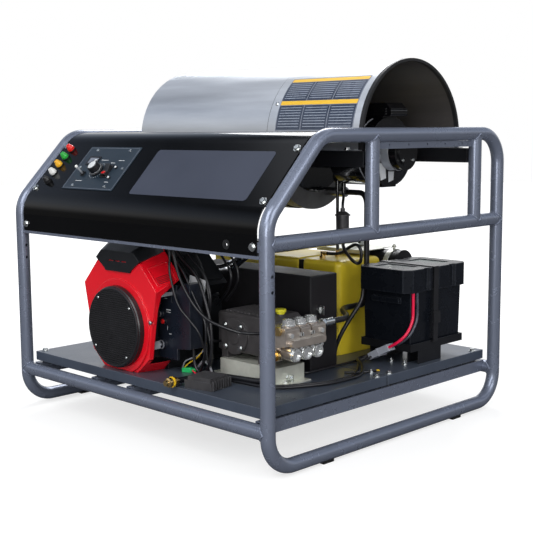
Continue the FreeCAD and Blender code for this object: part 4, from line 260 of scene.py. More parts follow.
LOOKS = {
    "slate_powder_coat": mix("washer_frame.coat", 0.27, 0.42, 0.035, 14, 0.012, grain_scale=1100,
        spread=0.015),
    # The deck's paler edges are mostly a painted highlight along the fold between top and edge
    "slate_deck_coat": mix("washer_frame.deck", 0.33, 0.25, 0.12, 7, 0.06, edge=0.003, wear=0.3,
        worn=(0.26, 0.29, 0.34), grain_scale=1300, coat=0.06, dust=0.05, specular=0.32),
    "black_powder_coat": mix((0.0075, 0.008, 0.01), 0.4, 0, 0.15, 10, 0.14, edge=0.0015, grain_scale=1300,
        specular=0.3),
    # The guard's paler front edges are a painted highlight
    "guard_black": mix((0.017, 0.016, 0.018), 0.42, 0, 0.12, 8, 0.12, edge=0.003, wear=0.3,
        worn=(0.09, 0.095, 0.11), grain_scale=1300, specular=0.2),
    "gloss_black_coat": mix("washer_panel.coat", 0.13, 0, 0.08, 4, 0.006, edge=0.0015, grain_scale=260,
        spread=0.03, specular=0.2),
    "navy_print": mix("washer_panel.print_colour", 0.34, 0, 0.06, 12, 0.03, specular=0.4),
    "slate_label": mix("washer_panel.plate_label", 0.36, 0, 0.05, 6, 0.03, specular=0.4),
    "black_rubber": mix((0.009, 0.009, 0.01), 0.5, 0, 0.14, 30, 0.16, grain_scale=700, specular=0.4),
    "hose_rubber": mix((0.007, 0.007, 0.009), 0.34, 0, 0.12, 40, 0.14, grain_scale=600),
    "zinc_plate": mix((0.66, 0.68, 0.67), 0.27, 1.0, 0.16, 26, 0.06, edge=0.0008),
    "green_zinc": mix((0.7, 0.71, 0.63), 0.34, 0.45, 0.16, 13, 0.08, edge=0.0015),
    "brushed_stainless": hood_steel(0.2204),
    "brushed_stainless_lower": hood_steel(0.2181),
    "drum_heat_coat": mix((0.12, 0.12, 0.12), 0.44, 0.35, 0.3, 11, 0.12, grain_scale=500),
    "plain_steel": mix((0.34, 0.34, 0.35), 0.36, 1.0, 0.12, 20, 0.06),
    "burner_gloss_black": mix((0.004, 0.004, 0.005), 0.12, 0, 0.1, 12, 0.02, coat=0.3),
    "burner_motor_black": mix((0.005, 0.005, 0.006), 0.2, 0, 0.1, 12, 0.03, edge=0.0015, zones=[MOTOR_BAND]),
    "cast_aluminium": mix((0.52, 0.53, 0.54), 0.46, 1.0, 0.1, 24, 0.22, edge=0.0015, grain_scale=420),
    "tank_yellow": mix("washer_engine.tank", 0.34, 0, 0.06, 5, 0.1, edge=0.006, worn=(0.84, 0.7, 0.2),
        grain_scale=320),
    "moulded_black": mix((0.009, 0.01, 0.012), 0.36, 0, 0.12, 18, 0.14, edge=0.002, grain_scale=800,
        specular=0.4),
    "control_box_navy": mix((0.009, 0.012, 0.02), 0.3, 0, 0.12, 18, 0.1, edge=0.003, grain_scale=800),
    # The battery's paler edges are a painted highlight
    "battery_black": mix((0.006, 0.0075, 0.011), 0.27, 0, 0.12, 14, 0.14, edge=0.005, wear=0.35,
        worn=(0.08, 0.09, 0.11), specular=0.2, grain_scale=620, zones=[FRONT_DENT, REAR_DENT]),
    "satin_black": mix((0.012, 0.012, 0.014), 0.32, 0, 0.1, 16, 0.1, specular=0.4),
    "machined_brass": mix((0.66, 0.47, 0.2), 0.22, 1.0, 0.12, 30, 0.04),
    "engine_black": mix((0.01, 0.011, 0.013), 0.38, 0.2, 0.2, 20, 0.25, edge=0.002, grain_scale=380,
        specular=0.4),
    "shroud_red": mix("washer_engine.shroud", 0.17, 0, 0.04, 5, 0.02, edge=0.004, wear=0.06,
        worn=(0.8, 0.1, 0.1), grain_scale=300, coat=0.3),
    "lever_silver": mix((0.48, 0.5, 0.54), 0.34, 0.5, 0.1, 30, 0.06),
    "exhaust_chrome": mix((0.7, 0.71, 0.73), 0.14, 1.0, 0.1, 12, 0.02, zones=[COLD_END]),
    "crankcase_paint": mix((0.07, 0.065, 0.067), 0.42, 0.3, 0.14, 22, 0.35, edge=0.003, grain_scale=420),
    "nickel_forging": mix("washer_engine.head", 0.17, 0.68, 0.18, 26, 0.16, edge=0.001, grain_scale=260,
        zones=HEAD_CAPS),
    "sheave_iron": mix((0.1, 0.1, 0.105), 0.46, 0.8, 0.2, 22, 0.2),
    "oil_cap_yellow": mix((0.8, 0.74, 0.03), 0.34, 0, 0.06, 30, 0.05),
    "connector_grey": mix((0.34, 0.36, 0.41), 0.4, 0, 0.08, 40, 0.08, edge=0.0015),
    # The paler edges of the regulator's fins are a painted highlight
    "regulator_grey": mix((0.072, 0.07, 0.074), 0.38, 0.5, 0.14, 30, 0.25, edge=0.001, wear=0.3,
        grain_scale=420),
    "nozzle_red": mix((0.72, 0.018, 0.012), 0.3, 0, 0.06, 60, 0.05),
    "nozzle_green": mix((0.02, 0.36, 0.045), 0.3, 0, 0.06, 60, 0.05),
    "nozzle_yellow": mix((0.82, 0.42, 0.02), 0.3, 0, 0.06, 60, 0.05),
    "nozzle_white": mix((0.74, 0.74, 0.72), 0.32, 0, 0.05, 60, 0.05),
    "nozzle_black": mix((0.012, 0.012, 0.013), 0.32, 0, 0.1, 60, 0.05),
    "lead_red": mix((0.78, 0.006, 0.06), 0.32, 0, 0.06, 60, 0.06),
    # Painted shade: a deep red for the dark inside of the shroud grille's slots
    "lead_red_deep": mix((0.16, 0.004, 0.008), 0.4, 0, 0.06, 60, 0.03),
    "screen_wire": mix((0.022, 0.022, 0.024), 0.36, 0, 0.1, 30, 0.05, specular=0.4),
    # Painted sheen: a black lead coloured slate grey all over so it reads as lit
    "lead_slate": mix((0.05, 0.056, 0.075), 0.28, 0, 0.1, 60, 0.06),
    "label_white": mix((0.62, 0.64, 0.66), 0.42, 0, 0.05, 30, 0.02),
    "label_amber": mix((0.82, 0.49, 0.04), 0.34, 0, 0.04, 20, 0.02),
    "label_cell": mix((0.036, 0.048, 0.078), 0.28, 0, 0.08, 20, 0.02),
    "label_rule": mix((0.34, 0.38, 0.46), 0.34, 0, 0.05, 30, 0.02),
    "label_line": mix((0.2, 0.22, 0.27), 0.34, 0, 0.06, 30, 0.02),
    "lamp_red": mix((0.6, 0.01, 0.01), 0.16, 0, 0.05, 80, 0.01, coat=0.4),
    "plug_green": mix((0.01, 0.42, 0.11), 0.34, 0, 0.08, 40, 0.06),
    "wire_silver": mix((0.36, 0.37, 0.4), 0.34, 0.4, 0.1, 60, 0.1),
    "wire_yellow": mix((0.78, 0.5, 0.02), 0.4, 0, 0.08, 60, 0.05),
    "seam_shadow": mix((0.03, 0.031, 0.034), 0.5, 0, 0.1, 30, 0.05),
    "weld_bead": mix((0.172, 0.195, 0.258), 0.28, 0.42, 0.16, 120, 0.15, grain_scale=800),
}


# Mesh builders; a shape is a function that grows it in a mesh and gives its new points back

def turned_to(x=0.0, y=0.0, z=0.0, toward=UP):
    """A frame at a point whose Z axis looks along a direction."""
    rotation = Vector(UP).rotation_difference(Vector(toward).normalized()).to_matrix().to_4x4()
    return Matrix.Translation((x, y, z)) @ rotation


def on_panel(x, rise, out):
    """The control panel's own frame: X across, Y up the slope, Z outwards."""
    y = -HALF_DEPTH + rise * cos(SLOPE) - out * sin(SLOPE)
    z = SLOPE_FOOT + rise * sin(SLOPE) + out * cos(SLOPE)
    return Matrix.Translation((x, y, z)) @ Matrix.Rotation(SLOPE, 4, "X")


def placed(make, where):
    """What a function makes, moved to its frame."""
    def shape(build):
        before = set(build.verts)
        make(build)
        fresh = [v for v in build.verts if v not in before]
        bmesh.ops.transform(build, matrix=where, verts=fresh)
        return fresh
    return shape


def in_look(index, shape):
    """The same shape in another of its piece's looks."""
    def painted(build):
        fresh = shape(build)
        for face in {f for v in fresh for f in v.link_faces}:
            face.material_index = index
        return fresh
    return painted


def stitch(build, low, high):
    """A band of faces between two closed rings of points, or a fan to a single point."""
    count = max(len(low), len(high))
    for i in range(count):
        after = (i + 1) % count
        quad = (low[i % len(low)], low[after % len(low)], high[after % len(high)], high[i % len(high)])
        build.faces.new(tuple(dict.fromkeys(quad)))


def block(size, where=HERE):
    def make(b):
        made = bmesh.ops.create_cube(b, size=1.0)
        bmesh.ops.scale(b, vec=size, verts=made["verts"])
    return placed(make, where)


def rod(radius, length, where, segments=32):
    """A rod that stands on its frame's origin."""
    def make(b):
        made = bmesh.ops.create_cone(b, cap_ends=True, segments=segments, radius1=radius, radius2=radius,
                                     depth=length)
        bmesh.ops.translate(b, vec=(0, 0, length / 2), verts=made["verts"])
    return placed(make, where)


def turned(profile, where, segments=48):
    """A closed ring or plug turned from (radius, height) corners."""
    def make(b):
        rings = []
        for radius, height in profile:
            turns = [2 * pi * i / segments for i in range(segments if radius else 1)]
            rings.append([b.verts.new((radius * cos(a), radius * sin(a), height)) for a in turns])
        for low, high in zip(rings, rings[1:]):
            stitch(b, low, high)
        if profile[0][0]:
            stitch(b, rings[-1], rings[0])
    return placed(make, where)


def outline(corners, thickness, where):
    """A flat plate from its outline, its back on the frame's XY plane."""
    def make(b):
        low, high = ([b.verts.new((x, y, z)) for x, y in corners] for z in (0, thickness))
        b.faces.new(list(reversed(low)))
        b.faces.new(high)
        stitch(b, low, high)
    return placed(make, where)


def arc(radius, turns, x=0.0, y=0.0):
    return [(x + radius * cos(a), y + radius * sin(a)) for a in turns]


def rounded(width, height, radius, steps=6):
    """Corners of a rectangle with rounded corners."""
    corners = []
    for quarter, (sx, sy) in enumerate(((1, 1), (-1, 1), (-1, -1), (1, -1))):
        turns = [pi / 2 * (quarter + i / steps) for i in range(steps + 1)]
        corners += arc(radius, turns, sx * (width / 2 - radius), sy * (height / 2 - radius))
    return corners


def dome(radius, height, steps=6):
    """Corners of a low domed head, from its underside up to its middle."""
    turns = [pi / 2 * i / steps for i in range(steps)]
    return [(0, 0)] + [(radius * cos(a), height * sin(a)) for a in turns] + [(0, height)]


def disc(radius, rim, rise, face):
    """Corners of a flat button whose side ends at the rim and whose face is smaller and higher."""
    return [(0, 0), (radius, 0), (radius, rim), (face, rise), (0, rise)]


def ring(inner, outer, height):
    return [(inner, 0), (outer, 0), (outer, height), (inner, height)]


def border(width, height, radius, line, thickness, where):
    """A thin raised line round a rounded rectangle."""
    outer = rounded(width, height, radius)
    inner = rounded(width - 2 * line, height - 2 * line, radius - line)

    def make(b):
        loops = [[b.verts.new((x, y, z)) for x, y in corners]
                 for corners, z in ((outer, 0), (outer, thickness), (inner, thickness), (inner, 0))]
        for one, two in zip(loops, loops[1:] + loops[:1]):
            stitch(b, one, two)
    return placed(make, where)


def wrapped(radius, thickness, reach, angles, steps=14):
    """A patch bent round the hood's axis: reach is its X limits, angles run up from the front."""
    def make(b):
        rows = []
        for i in range(steps + 1):
            angle = radians(angles[0] + (angles[1] - angles[0]) * i / steps)
            y, z = -cos(angle), sin(angle)
            one, two, three, four = (b.verts.new((x, AXIS_Y + r * y, HOOD_Z + r * z))
                                     for x in reach for r in (radius, radius + thickness))
            rows.append((one, two, four, three))
        for low, high in zip(rows, rows[1:]):
            stitch(b, low, high)
        b.faces.new((rows[0][0], *rows[0][:0:-1]))
        b.faces.new(rows[-1])
    return placed(make, HERE)


def heads(spots, toward, radius, height, washer=0.0):
    """Hexagon heads that stand on a face and look one way, with a washer if it has a radius."""
    shapes = []
    for spot in spots:
        where = turned_to(*spot, toward)
        if washer:
            shapes.append(rod(washer, WASHER, where, 24))
        shapes += [outline(hexagon(radius), height, where),
                   rod(radius * HEAD_TOP, height + HEAD_CROWN, where, 20)]
    return shapes


def hexagon(radius):
    return arc(radius, [radians(60 * i) for i in range(6)])


# A washer's thickness, and the round top of a hexagon head: its share of the radius, and its rise
WASHER = 0.0012
HEAD_TOP = 0.72
HEAD_CROWN = 0.0007


def metres(points):
    """A list of points written in millimetres, as metres."""
    return [tuple(v / 1000 for v in point) for point in points]


def on_facet(corner, across, beyond):
    """A frame at a corner of a flat facet: X towards a second corner, Z outwards."""
    x = (across - corner).normalized()
    z = x.cross(beyond - corner).normalized()
    return Matrix.Translation(corner) @ Matrix((x, z.cross(x), z)).transposed().to_4x4()


def saddle(at, along, across, radius=TUBE + 0.0006, steps=40):
    """The closed line where a tube that runs along meets an equal tube that runs across."""
    at, along, across = Vector(at), Vector(along), Vector(across)
    third = along.cross(across)
    points = []
    for i in range(steps):
        c, s = cos(2 * pi * i / steps), sin(2 * pi * i / steps)
        points.append(at + radius * (c * across + s * third + abs(c) * along))
    return points


def meshed(name, *shapes):
    """One mesh of several shapes, its faces outwards."""
    build = bmesh.new()
    for shape in shapes:
        shape(build)
    bmesh.ops.recalc_face_normals(build, faces=build.faces)
    mesh = bpy.data.meshes.new(name)
    build.to_mesh(mesh)
    build.free()
    return mesh


def linked(name, data):
    """An object of its data, in the scene."""
    made = bpy.data.objects.new(name, data)
    bpy.context.scene.collection.objects.link(made)
    return made


def evaluated(made):
    """The plain mesh of a curve or of an object with modifiers, which goes."""
    bpy.context.view_layer.update()
    graph = bpy.context.evaluated_depsgraph_get()
    mesh = bpy.data.meshes.new_from_object(made.evaluated_get(graph))
    bpy.data.objects.remove(made)
    return mesh


def settled(name, mesh, slot, body="frame", soft_edge=0.0):
    """Makes a piece of a mesh: smooth but for its creases, and riding on its body."""
    made = linked(name, mesh)
    mesh.shade_smooth()
    mesh.set_sharp_from_angle(angle=CREASE)
    if soft_edge:
        edge = made.modifiers.new("soft edge", "BEVEL")
        edge.width = soft_edge
        edge.segments = 2
        edge.limit_method = "ANGLE"
        edge.angle_limit = SOFT_ABOVE
    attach(made, body)
    return made


def piece(name, looks, slot, *shapes, **how):
    """A finished piece of several shapes, in one look or a list of them."""
    mesh = meshed(name, *shapes)
    for each in (looks if isinstance(looks, list) else [looks]):
        mesh.materials.append(look(each))
    return settled(name, mesh, slot, **how)


def curve(name, kind, *lines):
    """A curve with one line for each list of points."""
    data = bpy.data.curves.new(name, "CURVE")
    data.dimensions = "3D"
    for points in lines:
        line = data.splines.new(kind)
        line.points.add(len(points) - 1)
        for spot, point in zip(line.points, points):
            spot.co = (*point, 1.0)
        line.use_cyclic_u = kind == "POLY"
        line.order_u = 3
        line.use_endpoint_u = True
    return data


def cord(radius, points):
    """A round cord along the smooth line that its points pull on."""
    def make(b):
        data = curve("cord", "NURBS", points)
        data.bevel_depth = radius
        data.bevel_resolution = 3
        data.resolution_u = 10
        data.use_fill_caps = True
        mesh = evaluated(linked("cord", data))
        bpy.data.curves.remove(data)
        whole = bmesh.new()
        whole.from_mesh(mesh)
        bmesh.ops.remove_doubles(whole, verts=whole.verts, dist=SAME)
        whole.to_mesh(mesh)
        whole.free()
        b.from_mesh(mesh)
        bpy.data.meshes.remove(mesh)
    return placed(make, HERE)


def dress(**coats):
    """Gives each finish to the CAD nodes whose names follow it."""
    for coat, names in coats.items():
        for name in names.split():
            mesh = NODES[name].data
            mesh.materials.clear()
            mesh.materials.append(look(coat))


# Geometry Nodes trees for what repeats

SOCKETS = {float: "NodeSocketFloat", int: "NodeSocketInt", tuple: "NodeSocketVector"}


def start_tree(name, **inputs):
    """A new tree with its named inputs and their defaults, and what its entry gives."""
    tree = bpy.data.node_groups.new(name, "GeometryNodeTree")
    for way in ("INPUT", "OUTPUT"):
        tree.interface.new_socket(name="Geometry", in_out=way, socket_type="NodeSocketGeometry")
    for key, default in inputs.items():
        made = tree.interface.new_socket(name=key.replace("_", " "), in_out="INPUT",
                                         socket_type=SOCKETS[type(default)])
        made.default_value = default
    tree.interface.new_socket(name="Finish", in_out="INPUT", socket_type="NodeSocketMaterial")
    return tree, tree.nodes.new("NodeGroupInput").outputs


def close_tree(tree, entry, **laid):
    """Every tree sets out instances, and ends in real geometry with its material set."""
    copies = node(tree, "GeometryNodeInstanceOnPoints", **laid)
    real = node(tree, "GeometryNodeRealizeInstances", copies.outputs["Instances"])
    coat = node(tree, "GeometryNodeSetMaterial", real.outputs["Geometry"], Material=entry["Finish"])
    node(tree, "NodeGroupOutput", coat.outputs["Geometry"])
    return tree


def bead_tree():
    """Overlapping drops along a line: a weld bead."""
    tree, entry = start_tree("weld bead", Drop_Radius=0.0028, Pitch=0.0022)
    spots = node(tree, "GeometryNodeCurveToPoints", mode="LENGTH", Curve=entry["Geometry"],
                 Length=entry["Pitch"])
    drop = node(tree, "GeometryNodeMeshIcoSphere", Subdivisions=2, Radius=entry["Drop Radius"])
    size = node(tree, "FunctionNodeRandomValue", None, None, 0.82, 1.08, data_type="FLOAT", Seed=4)
    return close_tree(tree, entry, Points=spots.outputs["Points"], Instance=drop.outputs["Mesh"],
                      Scale=size.outputs[1])


def ring_tree():
    """Copies of one small part set evenly round an axis."""
    tree, entry = start_tree("set round an axis", Count=6, Radius=0.05)
    circle = node(tree, "GeometryNodeCurvePrimitiveCircle", mode="RADIUS", Radius=entry["Radius"])
    spots = node(tree, "GeometryNodeCurveToPoints", mode="COUNT", Curve=circle.outputs["Curve"],
                 Count=entry["Count"])
    where = node(tree, "GeometryNodeInputPosition").outputs["Position"]
    turn = node(tree, "FunctionNodeAlignRotationToVector", axis="X", pivot_axis="Z", Vector=where)
    return close_tree(tree, entry, Points=spots.outputs["Points"], Instance=entry["Geometry"],
                      Rotation=turn.outputs["Rotation"])


def row_tree():
    """Copies of one small part set along a straight line."""
    tree, entry = start_tree("set in a row", Count=6, Step=(0.01, 0.0, 0.0))
    line = node(tree, "GeometryNodeMeshLine", mode="OFFSET", Count=entry["Count"], Offset=entry["Step"])
    return close_tree(tree, entry, Points=line.outputs["Mesh"], Instance=entry["Geometry"])


_trees = {}


def grown(name, coat, slot, maker, source, where=HERE, **values):
    """Runs a tree on a source mesh or curve and keeps the result as one plain mesh."""
    if maker not in _trees:
        _trees[maker] = maker()
    tree = _trees[maker]
    holder = linked(name + "_source", source)
    grower = holder.modifiers.new("grow", "NODES")
    grower.node_group = tree
    values["Finish"] = look(coat)
    for item in tree.interface.items_tree:
        if item.in_out == "INPUT" and item.name.replace(" ", "_") in values:
            grower[item.identifier] = values[item.name.replace(" ", "_")]
    mesh = evaluated(holder)
    mesh.transform(where)
    mesh.name = name
    return settled(name, mesh, slot)


# Sizes and colours that a user may change

def colour_of(name, description, default):
    return bpy.props.FloatVectorProperty(name=name, description=description, default=default, subtype="COLOR",
                                         min=0, max=1)


def number_of(name, description, default, least, most, unit="NONE"):
    return bpy.props.FloatProperty(name=name, description=description, default=default, unit=unit, min=least,
                                   max=most)


class FrameSettings(bpy.types.PropertyGroup):
    """Tube frame and deck."""
    coat: colour_of("Frame coat", "Powder coat on the tubes", (0.172, 0.195, 0.258))
    deck: colour_of("Deck coat", "Coat on the two deck plates", (0.062, 0.077, 0.107))
    bead: number_of("Weld bead", "Radius of one drop of a weld bead", 0.0026, 0.001, 0.004, "LENGTH")
    bead_pitch: number_of("Bead pitch", "Step from one drop to the next", 0.0024, 0.001, 0.006, "LENGTH")


class PanelSettings(bpy.types.PropertyGroup):
    """Sloped control panel."""
    coat: colour_of("Panel coat", "Gloss coat on the panel", (0.0022, 0.0022, 0.0024))
    print_colour: colour_of("Plate print", "Ground colour of the control plate", (0.014, 0.025, 0.038))
    plate_label: colour_of("Bare label", "Colour of the bare label on the slope", (0.036, 0.042, 0.064))
    marks: bpy.props.IntProperty(name="Dial marks", description="Marks round the thermostat dial",
                                 default=24, min=6, max=60)


class HoodSettings(bpy.types.PropertyGroup):
    """Arched hood, drum and burner."""
    metal: colour_of("Hood metal", "Tone of the brushed stainless sheet", (0.66, 0.68, 0.71))
    label_low: number_of("Label foot", "Angle of the label's lower edge up the arch", 7.0, 0, 40)
    label_high: number_of("Label top", "Angle of the label's upper edge up the arch", 52.0, 20, 80)


class EngineSettings(bpy.types.PropertyGroup):
    """Engine, tank and pump."""
    shroud: colour_of("Shroud", "Gloss plastic of the fan shroud", (0.72, 0.006, 0.016))
    tank: colour_of("Tank", "Moulded plastic of the fuel tank", (0.84, 0.64, 0.035))
    screen_pitch: number_of("Screen pitch", "Step of the screen's wires", 0.0062, 0.004, 0.03, "LENGTH")
    head: colour_of("Pump head", "Nickel on the pump's head", (0.47, 0.415, 0.365))


class StageSettings(bpy.types.PropertyGroup):
    """Light, floor and camera."""
    sky: number_of("Sky", "Strength of the even light from all round", 0.46, 0, 2)
    lamp: number_of("Main lamp", "Power of the large lamp over the front", 124.0, 0, 500, "POWER")
    floor: colour_of("Floor", "Colour of the floor", (0.36, 0.36, 0.36))


SETTINGS = {"washer_frame": FrameSettings, "washer_panel": PanelSettings, "washer_hood": HoodSettings,
            "washer_engine": EngineSettings, "washer_stage": StageSettings}


# One operator for each group of pieces

class CoatFrame(bpy.types.Operator):
    """Coats the tubes and rails and lays the weld beads where they meet."""
    bl_idname = "washer.coat_frame"
    bl_label = "Frame"

    def execute(self, context):
        sizes = context.scene.washer_frame
        dress(slate_powder_coat="side_frame_left side_frame_right rails_and_posts cross_rails "
                                "strips_and_tabs",
              black_powder_coat="crossmembers battery_tray")
        loops = []
        for x in (-HALF_WIDTH, HALF_WIDTH):
            for y in POSTS:
                loops.append(saddle((x, y, MID_RAIL), UP, BACK))
                loops.append(saddle((x, y, TOP_RAIL), (0, 0, -1), BACK))
            for y in (-HALF_DEPTH, HALF_DEPTH):
                loops.append(saddle((x, y, MID_RAIL), (0, -copysign(1, y), 0), UP))
                loops.append(saddle((x, y, CROSS_TUBE), (-copysign(1, x), 0, 0), UP))
        grown("frame_weld_beads", "weld_bead", "frame_grey", bead_tree, curve("weld lines", "POLY", *loops),
              Drop_Radius=sizes.bead, Pitch=sizes.bead_pitch)
        return {"FINISHED"}


class CoatDeck(bpy.types.Operator):
    """Coats the deck plates, rubber parts, bolts and brackets, and adds the deck's studs."""
    bl_idname = "washer.coat_deck"
    bl_label = "Deck"

    def execute(self, context):
        dress(slate_deck_coat="deck_front deck_rear", black_rubber="rubber_parts", zinc_plate="bolts",
              green_zinc="mounting_brackets")
        studs = metres([(396, 156, 171.9), (451, 149, 171.9), (447, 0, 171.9)])
        piece("deck_studs", "zinc_plate", "zinc",
              *[rod(0.0027, 0.011, turned_to(*spot), 16) for spot in studs],
              *heads(studs, UP, 0.006, 0.0055, 0.0078))
        return {"FINISHED"}


class FitControls(bpy.types.Operator):
    """Coats the control panel and fits its label, its plate's marks and its small parts."""
    bl_idname = "washer.fit_controls"
    bl_label = "Controls"

    def execute(self, context):
        dress(gloss_black_coat="control_panel", navy_print="control_plate", satin_black="instruments",
              moulded_black="thermostat_knob burner_rocker", lever_silver="toggle_lever")
        piece("slope_label", "slate_label", "plate_blue",
              outline(rounded(0.462, 0.164, 0.01), 0.0006, on_panel(0.1985, 0.131, PANEL_OUT + GAP)))
        self.print_plate(context.scene.washer_panel.marks)
        piece("knob_face", "label_white", "black_plastic",
              turned(disc(0.0135, 0.0006, 0.001, 0.0125), on_panel(*KNOB, KNOB_TOP + GAP)),
              block((0.007, 0.0075, 0.003), on_panel(KNOB[0], 0.1442, KNOB_TOP - 0.0022)), body="knob")
        piece("knob_skirt_line", "label_white", "black_plastic",
              turned(ring(0.0182, 0.0192, 0.0008), on_panel(*KNOB, KNOB_TOP - 0.019)), body="knob")
        tip = [(radius, 0.003 + rise) for radius, rise in dome(0.0046, 0.0036, 5)[1:]]
        piece("toggle_tip", "nozzle_white", "lever_grey",
              turned([(0, 0), (0.0043, 0.0004), *tip], on_panel(-0.3, 0.112, 0.043)), body="toggle")
        tilt = Matrix.Rotation(radians(-8), 4, "X")
        piece("rocker_window", "lamp_red", "black_plastic",
              block((0.013, 0.01, 0.0012), on_panel(-0.196, 0.1145, 0.0208) @ tilt), body="rocker",
              soft_edge=0.0003)
        piece("lamp_lenses", "label_white", "black_plastic",
              *[turned(dome(0.0039, 0.0026), on_panel(-0.165, rise, 0.016), 24) for rise in (0.101, 0.14)])
        piece("meter_window", "label_line", "black_plastic",
              outline(rounded(0.04, 0.02, 0.0016), 0.0006, on_panel(-0.296, 0.164, 0.0141)))
        return {"FINISHED"}

    def print_plate(self, marks):
        """The plate's border, plain bars where words would stand, and the dial's marks."""
        face = PLATE_OUT + GAP
        piece("plate_border", "label_line", "plate_blue",
              border(0.236, 0.158, 0.006, 0.0009, PRINT, on_panel(-0.235, 0.137, face)))
        bars = ((-0.165, 0.168, 0.026), (-0.3, 0.086, 0.03), (-0.196, 0.158, 0.022),
                (-0.243, 0.168, 0.034), (-0.165, 0.085, 0.018))
        piece("plate_marks", "label_white", "plate_blue", *[
            block((width, 0.0018, PRINT), on_panel(x, rise, face + PRINT / 2)) for x, rise, width in bars])
        grown("dial_marks", "label_white", "plate_blue", ring_tree,
              meshed("mark", block((0.0026, 0.0009, 0.0004))), on_panel(*KNOB, DIAL_OUT + 0.0002),
              Count=marks, Radius=0.0285)


class FitNozzles(bpy.types.Operator):
    """Colours the five spray nozzles."""
    bl_idname = "washer.fit_nozzles"
    bl_label = "Spray nozzles"

    def execute(self, context):
        nozzles = [f"nozzle_{colour}" for colour in ("red", "green", "yellow", "white", "black")]
        dress(**dict(zip(nozzles, nozzles)))
        return {"FINISHED"}


class FitHood(bpy.types.Operator):
    """Brushes the hood's two halves and fits the bare label, the seam's screws, and a dark strip along the
    seam that is its painted shadow.
    """
    bl_idname = "washer.fit_hood"
    bl_label = "Hood"

    def execute(self, context):
        sizes = context.scene.washer_hood
        dress(brushed_stainless="hood_right", brushed_stainless_lower="hood_left")
        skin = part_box("hood_right")[1].z - HOOD_Z + 0.0001
        piece("hood_label", ["label_line", "label_cell", "label_amber", "label_rule"], "stainless",
              *self.label(skin, sizes.label_low, sizes.label_high))
        screws = []
        for angle in (28, 90, 152):
            lean = radians(angle)
            toward = (0, -cos(lean), sin(lean))
            spot = (0.143, AXIS_Y + skin * toward[1], HOOD_Z + skin * toward[2])
            screws.append(turned(dome(0.0062, 0.0034), turned_to(*spot, toward), 24))
        piece("seam_screws", "zinc_plate", "zinc", *screws)
        # Painted shadow: a thin dark strip just under the seam stands for the shadow line there
        piece("seam_bead", "seam_shadow", "rubber_black",
              wrapped(skin - 0.0023, 0.0012, (0.1235, 0.1262), (-6, 186), 60))
        return {"FINISHED"}

    def label(self, skin, low, high):
        """The label's ground, and on it two rows of three ruled cells with a band above each row.

        Heights are angles up the arch, in degrees."""
        middle = (low + high) / 2
        face, film, rule, margin = skin + PRINT, 0.0002, 0.0001, 0.006
        shapes = [wrapped(skin, PRINT, (0.157, 0.447), (low, high))]
        for foot, top in ((low + 0.8, middle - 3.4), (middle + 0.6, high - 4.6)):
            for left in (0.16, 0.2557, 0.3514):
                right = left + 0.0925
                shapes.append(in_look(1, wrapped(face, film, (left, right), (foot, top))))
                for line in range(1, 9):
                    mark = foot + (top - foot) * line / 9
                    shapes.append(in_look(3, wrapped(face + film, rule, (left + margin, right - margin),
                                                     (mark, mark + 0.42), 1)))
            shapes.append(in_look(2, wrapped(face, film, (0.16, 0.444), (top + 0.5, top + 3.8))))
        return shapes


class FitBurner(bpy.types.Operator):
    """Finishes the drum, its coil and the burner, with the burner's rings and bare labels."""
    bl_idname = "washer.fit_burner"
    bl_label = "Drum and burner"

    def execute(self, context):
        dress(drum_heat_coat="coil_drum", plain_steel="heating_coil", cast_aluminium="burner_fan",
              burner_gloss_black="burner_housing igniter_box fuel_pump", burner_motor_black="burner_motor",
              satin_black="hold_down_straps")
        # The cylinder's face, seen from the right: X runs back and Y up
        face = Matrix(((0, 0, 1, 0.40305), (1, 0, 0, 0), (0, 1, 0, 0), (0, 0, 0, 1)))
        piece("burner_labels", "label_white", "burner_black",
              *[outline(corners, 0.0005, face) for corners in (
                  ((0.083, 0.757), (0.112, 0.751), (0.116, 0.712), (0.092, 0.706)),
                  ((0.126, 0.731), (0.152, 0.73), (0.15, 0.706), (0.128, 0.7)))])
        axis = turned_to(0, AXIS_Y, DRUM_Z, RIGHT)
        piece("burner_rings", "wire_silver", "burner_black",
              *[turned([(radius - 0.003, x), (radius, x), (radius + 0.0012, x + 0.0012), (radius, x + 0.0024),
                        (radius - 0.003, x + 0.0024)], axis, 64) for x, radius in (
                  (0.3362, 0.0985), (0.3602, 0.0985), (0.3975, 0.0975), (0.432, 0.0528), (0.4035, 0.0528))])
        ribs = [(size, spot, z) for z in (0.8935, 0.9005, 0.9075) for size, spot in (
            ((0.078, 0.004, 0.003), (0.376, 0.0997)), ((0.0035, 0.072, 0.003), (0.4312, 0.1385)))]
        piece("igniter_ribs", "burner_gloss_black", "burner_black",
              *[block(size, turned_to(*spot, z)) for size, spot, z in ribs], soft_edge=0.0005)
        spots = [(0.4643, y, z) for y, z in arc(0.033, (0.8, 2.37, 3.94, 5.5), AXIS_Y, DRUM_Z)]
        piece("motor_screws", "zinc_plate", "zinc", *heads(spots, RIGHT, 0.0042, 0.003))
        return {"FINISHED"}


class FitFuel(bpy.types.Operator):
    """Finishes the fuel tank, its cap and the fuel filter."""
    bl_idname = "washer.fit_fuel"
    bl_label = "Fuel tank and filter"

    def execute(self, context):
        dress(tank_yellow="fuel_tank", moulded_black="tank_cap", regulator_grey="fuel_filter",
              machined_brass="brass_fittings")
        return {"FINISHED"}


